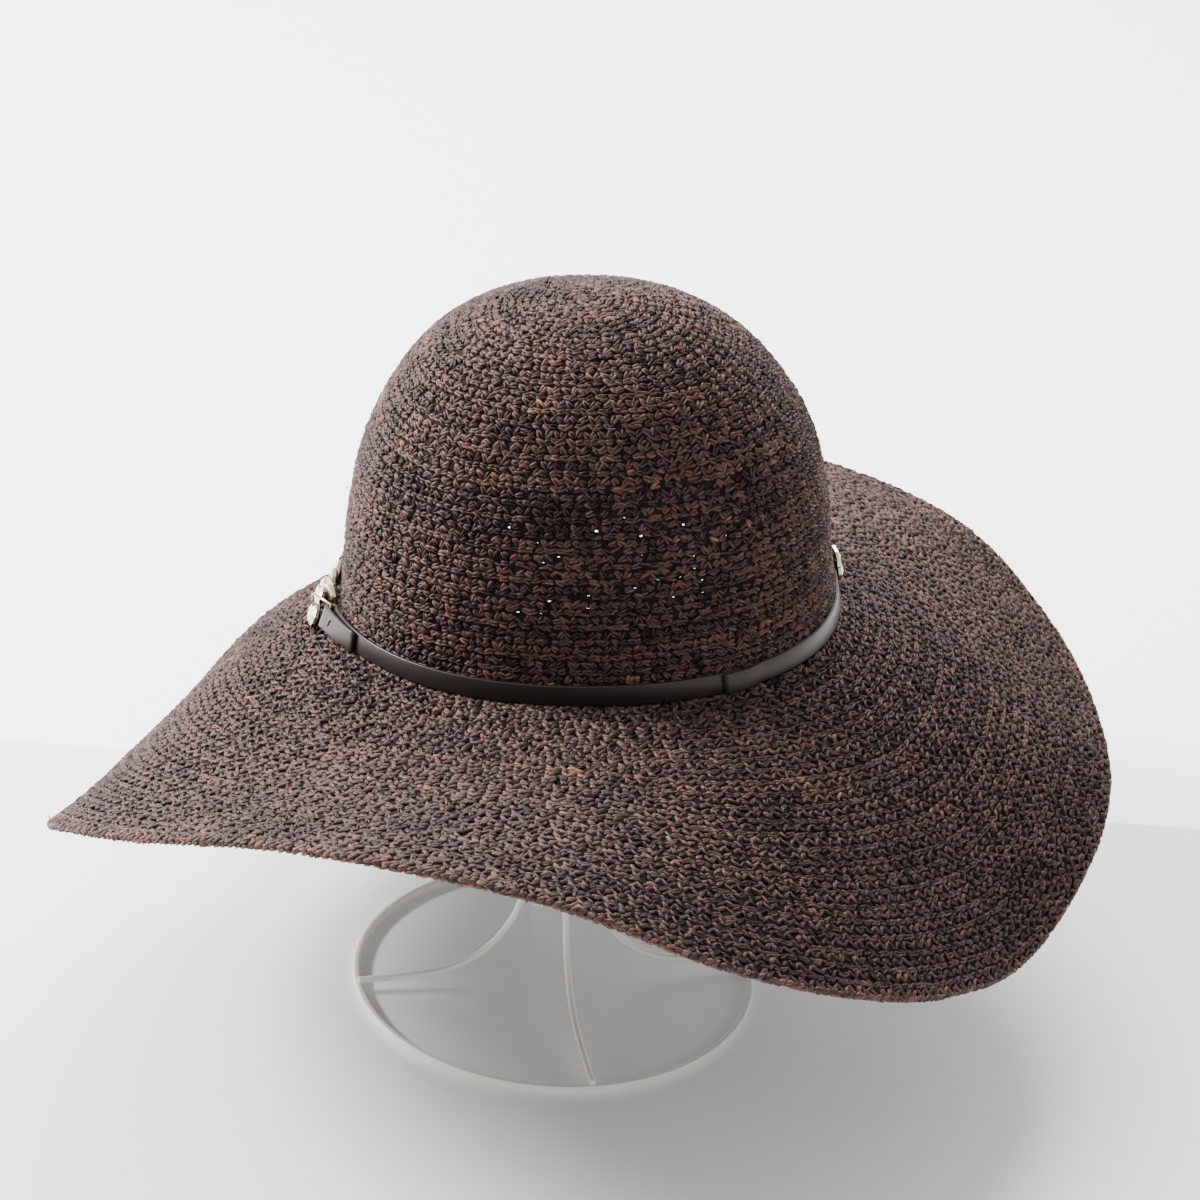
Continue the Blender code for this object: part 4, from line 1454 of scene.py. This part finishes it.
@dataclass(frozen=True)
class WireStand:
    """The cream wire stand: a strip ring, four legs, a waist and the head form."""

    ring_radius: float = 85 * MM
    ring_height: float = 4 * MM
    ring_thickness: float = 2.2 * MM
    ring_corner: float = 0.5 * MM
    wire_radius: float = 1.5 * MM
    waist_radius: float = 9 * MM
    weld_depth: float = 0.8 * MM
    turn: float = math.radians(13.5)
    ring_sides: int = 160
    leg_points: int = 60
    legs: tuple[LegRow, ...] = (
        LegRow(1.00, 0.000), LegRow(0.87, 0.001), LegRow(0.70, 0.003), LegRow(0.50, 0.010),
        LegRow(0.33, 0.030), LegRow(0.20, 0.062), LegRow(0.10, 0.112), LegRow(0.03, 0.210),
        LegRow(0.00, 0.340), LegRow(0.02, 0.440),
    )
    cage: tuple[LegRow, ...] = (
        LegRow(0.17, 0.515), LegRow(0.38, 0.605), LegRow(0.60, 0.700), LegRow(0.70, 0.790),
        LegRow(0.68, 0.880), LegRow(0.52, 0.955), LegRow(0.26, 0.992), LegRow(0.00, 1.000),
    )

    def leg(self, top: float) -> np.ndarray:
        """Reach and height along one leg, from the ring to the top of the head form."""
        inner = SHAPE.width / 2 - SHAPE.wall
        rows = [(self.waist_radius + row.reach * (self.ring_radius - self.waist_radius), row.height)
                for row in self.legs]
        rows += [(row.reach * inner, row.height) for row in self.cage]
        weld = self.ring_height + self.wire_radius - self.weld_depth
        table = np.array(rows) * np.array([1.0, top - weld]) + np.array([0.0, weld])
        padded = np.vstack([table, table[-2] * np.array([-1, 1])])
        places = np.linspace(0, len(table) - 1, self.leg_points)
        return smooth_read(np.arange(len(padded)), padded, places)

    def ring(self) -> bpy.types.Mesh:
        """The base ring, a strip on edge with rounded corners."""
        profile = rounded_section(self.ring_thickness, self.ring_height, self.ring_corner)
        axis = SHAPE.stand_axis()
        points = []
        for turn in np.linspace(0, 2 * math.pi, self.ring_sides, endpoint=False):
            for across, up in profile:
                reach = self.ring_radius + across
                points.append(axis + np.array([reach * math.cos(turn), reach * math.sin(turn), up]))
        size = len(profile)
        faces = []
        for i in range(self.ring_sides):
            j = (i + 1) % self.ring_sides
            for k in range(size):
                m = (k + 1) % size
                faces.append([i * size + k, j * size + k, j * size + m, i * size + m])
        return outward(mesh_of("ring", np.array(points), faces))

    def build(self, finish: bpy.types.Material) -> None:
        """Make the stand."""
        axis = SHAPE.stand_axis()
        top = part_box("wire_stand")[1].z - self.wire_radius
        leg = self.leg(top)
        parts = [self.ring()]
        for number in range(2):
            routes = []
            for half in (0, 2):
                angle = self.turn + (number + half) * math.pi / 2
                way = np.array([math.cos(angle), math.sin(angle), 0.0])
                routes.append([axis + way * reach + np.array([0.0, 0.0, up]) for reach, up in leg])
            route = routes[0] + routes[1][-2::-1]
            parts.append(wire(f"arch_{number}", route, self.wire_radius))
        finished(new_object("stand_frame", joined("stand_frame", parts), finish), Slot.PAINT, "wire_stand")


class Lamp(NamedTuple):
    """One soft round lamp: its place, its size in metres and its power in watts."""

    name: str
    place: tuple[float, float, float]
    size: float
    power: float


@dataclass(frozen=True)
class Stage:
    """Pale floor, soft studio light and the camera of the photograph."""

    eye: tuple[float, float, float] = (8.1 * MM, -1437.68 * MM, 967.80 * MM)
    pitch: float = math.radians(28.52)
    roll: float = math.radians(4.25)
    lens: float = 120.0
    sensor: float = 36.0
    table_back: float = 0.165
    sweep_run: float = 4.0
    sweep_rise: float = 0.25
    half_side: float = 6.0
    far_limit: float = 20.0
    room_light: float = 1.16
    aim: tuple[float, float, float] = (0.0, 0.0, 0.15)
    lamps: tuple[Lamp, ...] = (
        Lamp("key", (-1.6, 0.3, 1.2), 0.9, 150),
        Lamp("top", (0.1, 1.1, 1.8), 1.2, 74),
    )

    def camera(self) -> None:
        """Set the camera where the photograph was taken from."""
        forward = Vector((0, math.cos(self.pitch), -math.sin(self.pitch)))
        right = Vector((1, 0, 0))
        up = right.cross(forward)
        across = right * math.cos(self.roll) + up * math.sin(self.roll)
        over = up * math.cos(self.roll) - right * math.sin(self.roll)
        data = bpy.data.cameras.new("view")
        data.lens = self.lens
        data.sensor_width = self.sensor
        data.clip_end = self.far_limit
        camera = bpy.data.objects.new("view", data)
        bpy.context.scene.collection.objects.link(camera)
        turn = Matrix((across, over, -forward)).transposed().to_4x4()
        place = Vector(self.eye) + Vector(SHAPE.stand_axis())
        camera.matrix_world = Matrix.Translation(place) @ turn
        bpy.context.scene.camera = camera

    def floor(self) -> None:
        """Make the pale table top and the white sweep that rises behind it."""
        side = self.half_side
        back = self.table_back
        far = back + self.sweep_run
        self.sheet("table", (-side, 0.0), (back, 0.0), TABLE_WHITE)
        self.sheet("sweep", (back, 0.0), (far, self.sweep_rise), SWEEP_WHITE)

    def sheet(self, name: str, near: tuple[float, float], far: tuple[float, float],
              finish: PlainFinish) -> None:
        """Make one flat sheet of the stage.

        Args:
            name: its name.
            near: distance back and height of its near edge.
            far: distance back and height of its far edge.
            finish: its finish.
        """
        side = self.half_side
        corners = np.array([[-side, *near], [side, *near], [side, *far], [-side, *far]])
        new_object(name, mesh_of(name, corners, [[0, 1, 2, 3]]), finish.build())

    def hang(self, lamp: Lamp) -> None:
        """Hang one lamp that looks at the hat."""
        data = bpy.data.lights.new(lamp.name, "AREA")
        data.shape = "DISK"
        data.size = lamp.size
        data.energy = lamp.power
        made = bpy.data.objects.new(lamp.name, data)
        bpy.context.scene.collection.objects.link(made)
        place = Vector(lamp.place)
        made.location = place
        made.rotation_euler = (Vector(self.aim) - place).to_track_quat("-Z", "Y").to_euler()

    def lights(self) -> None:
        """Hang the lamps and set the even light of the room."""
        world = bpy.data.worlds.new("room")
        world.use_nodes = True
        background = world.node_tree.nodes["Background"]
        background.inputs[0].default_value = (1, 1, 1, 1)
        background.inputs[1].default_value = self.room_light
        bpy.context.scene.world = world
        for lamp in self.lamps:
            self.hang(lamp)

    def build(self) -> None:
        """Set up the stage."""
        self.camera()
        self.floor()
        self.lights()


def main() -> None:
    """Build every piece in order."""
    logging.basicConfig(level=logging.INFO)
    strands = STRANDS.build()
    ground = SHADOWED_STRAW.build()
    Crown().build(strands, ground)
    Brim().build(strands, ground)
    strap = Strap()
    strap.build(LEATHER.build())
    Ornaments(strap).build(METAL.build())
    WireStand().build(PAINT.build())
    LooseFibres().build(ground)
    Stage().build()


if __name__ == "__main__":
    main()
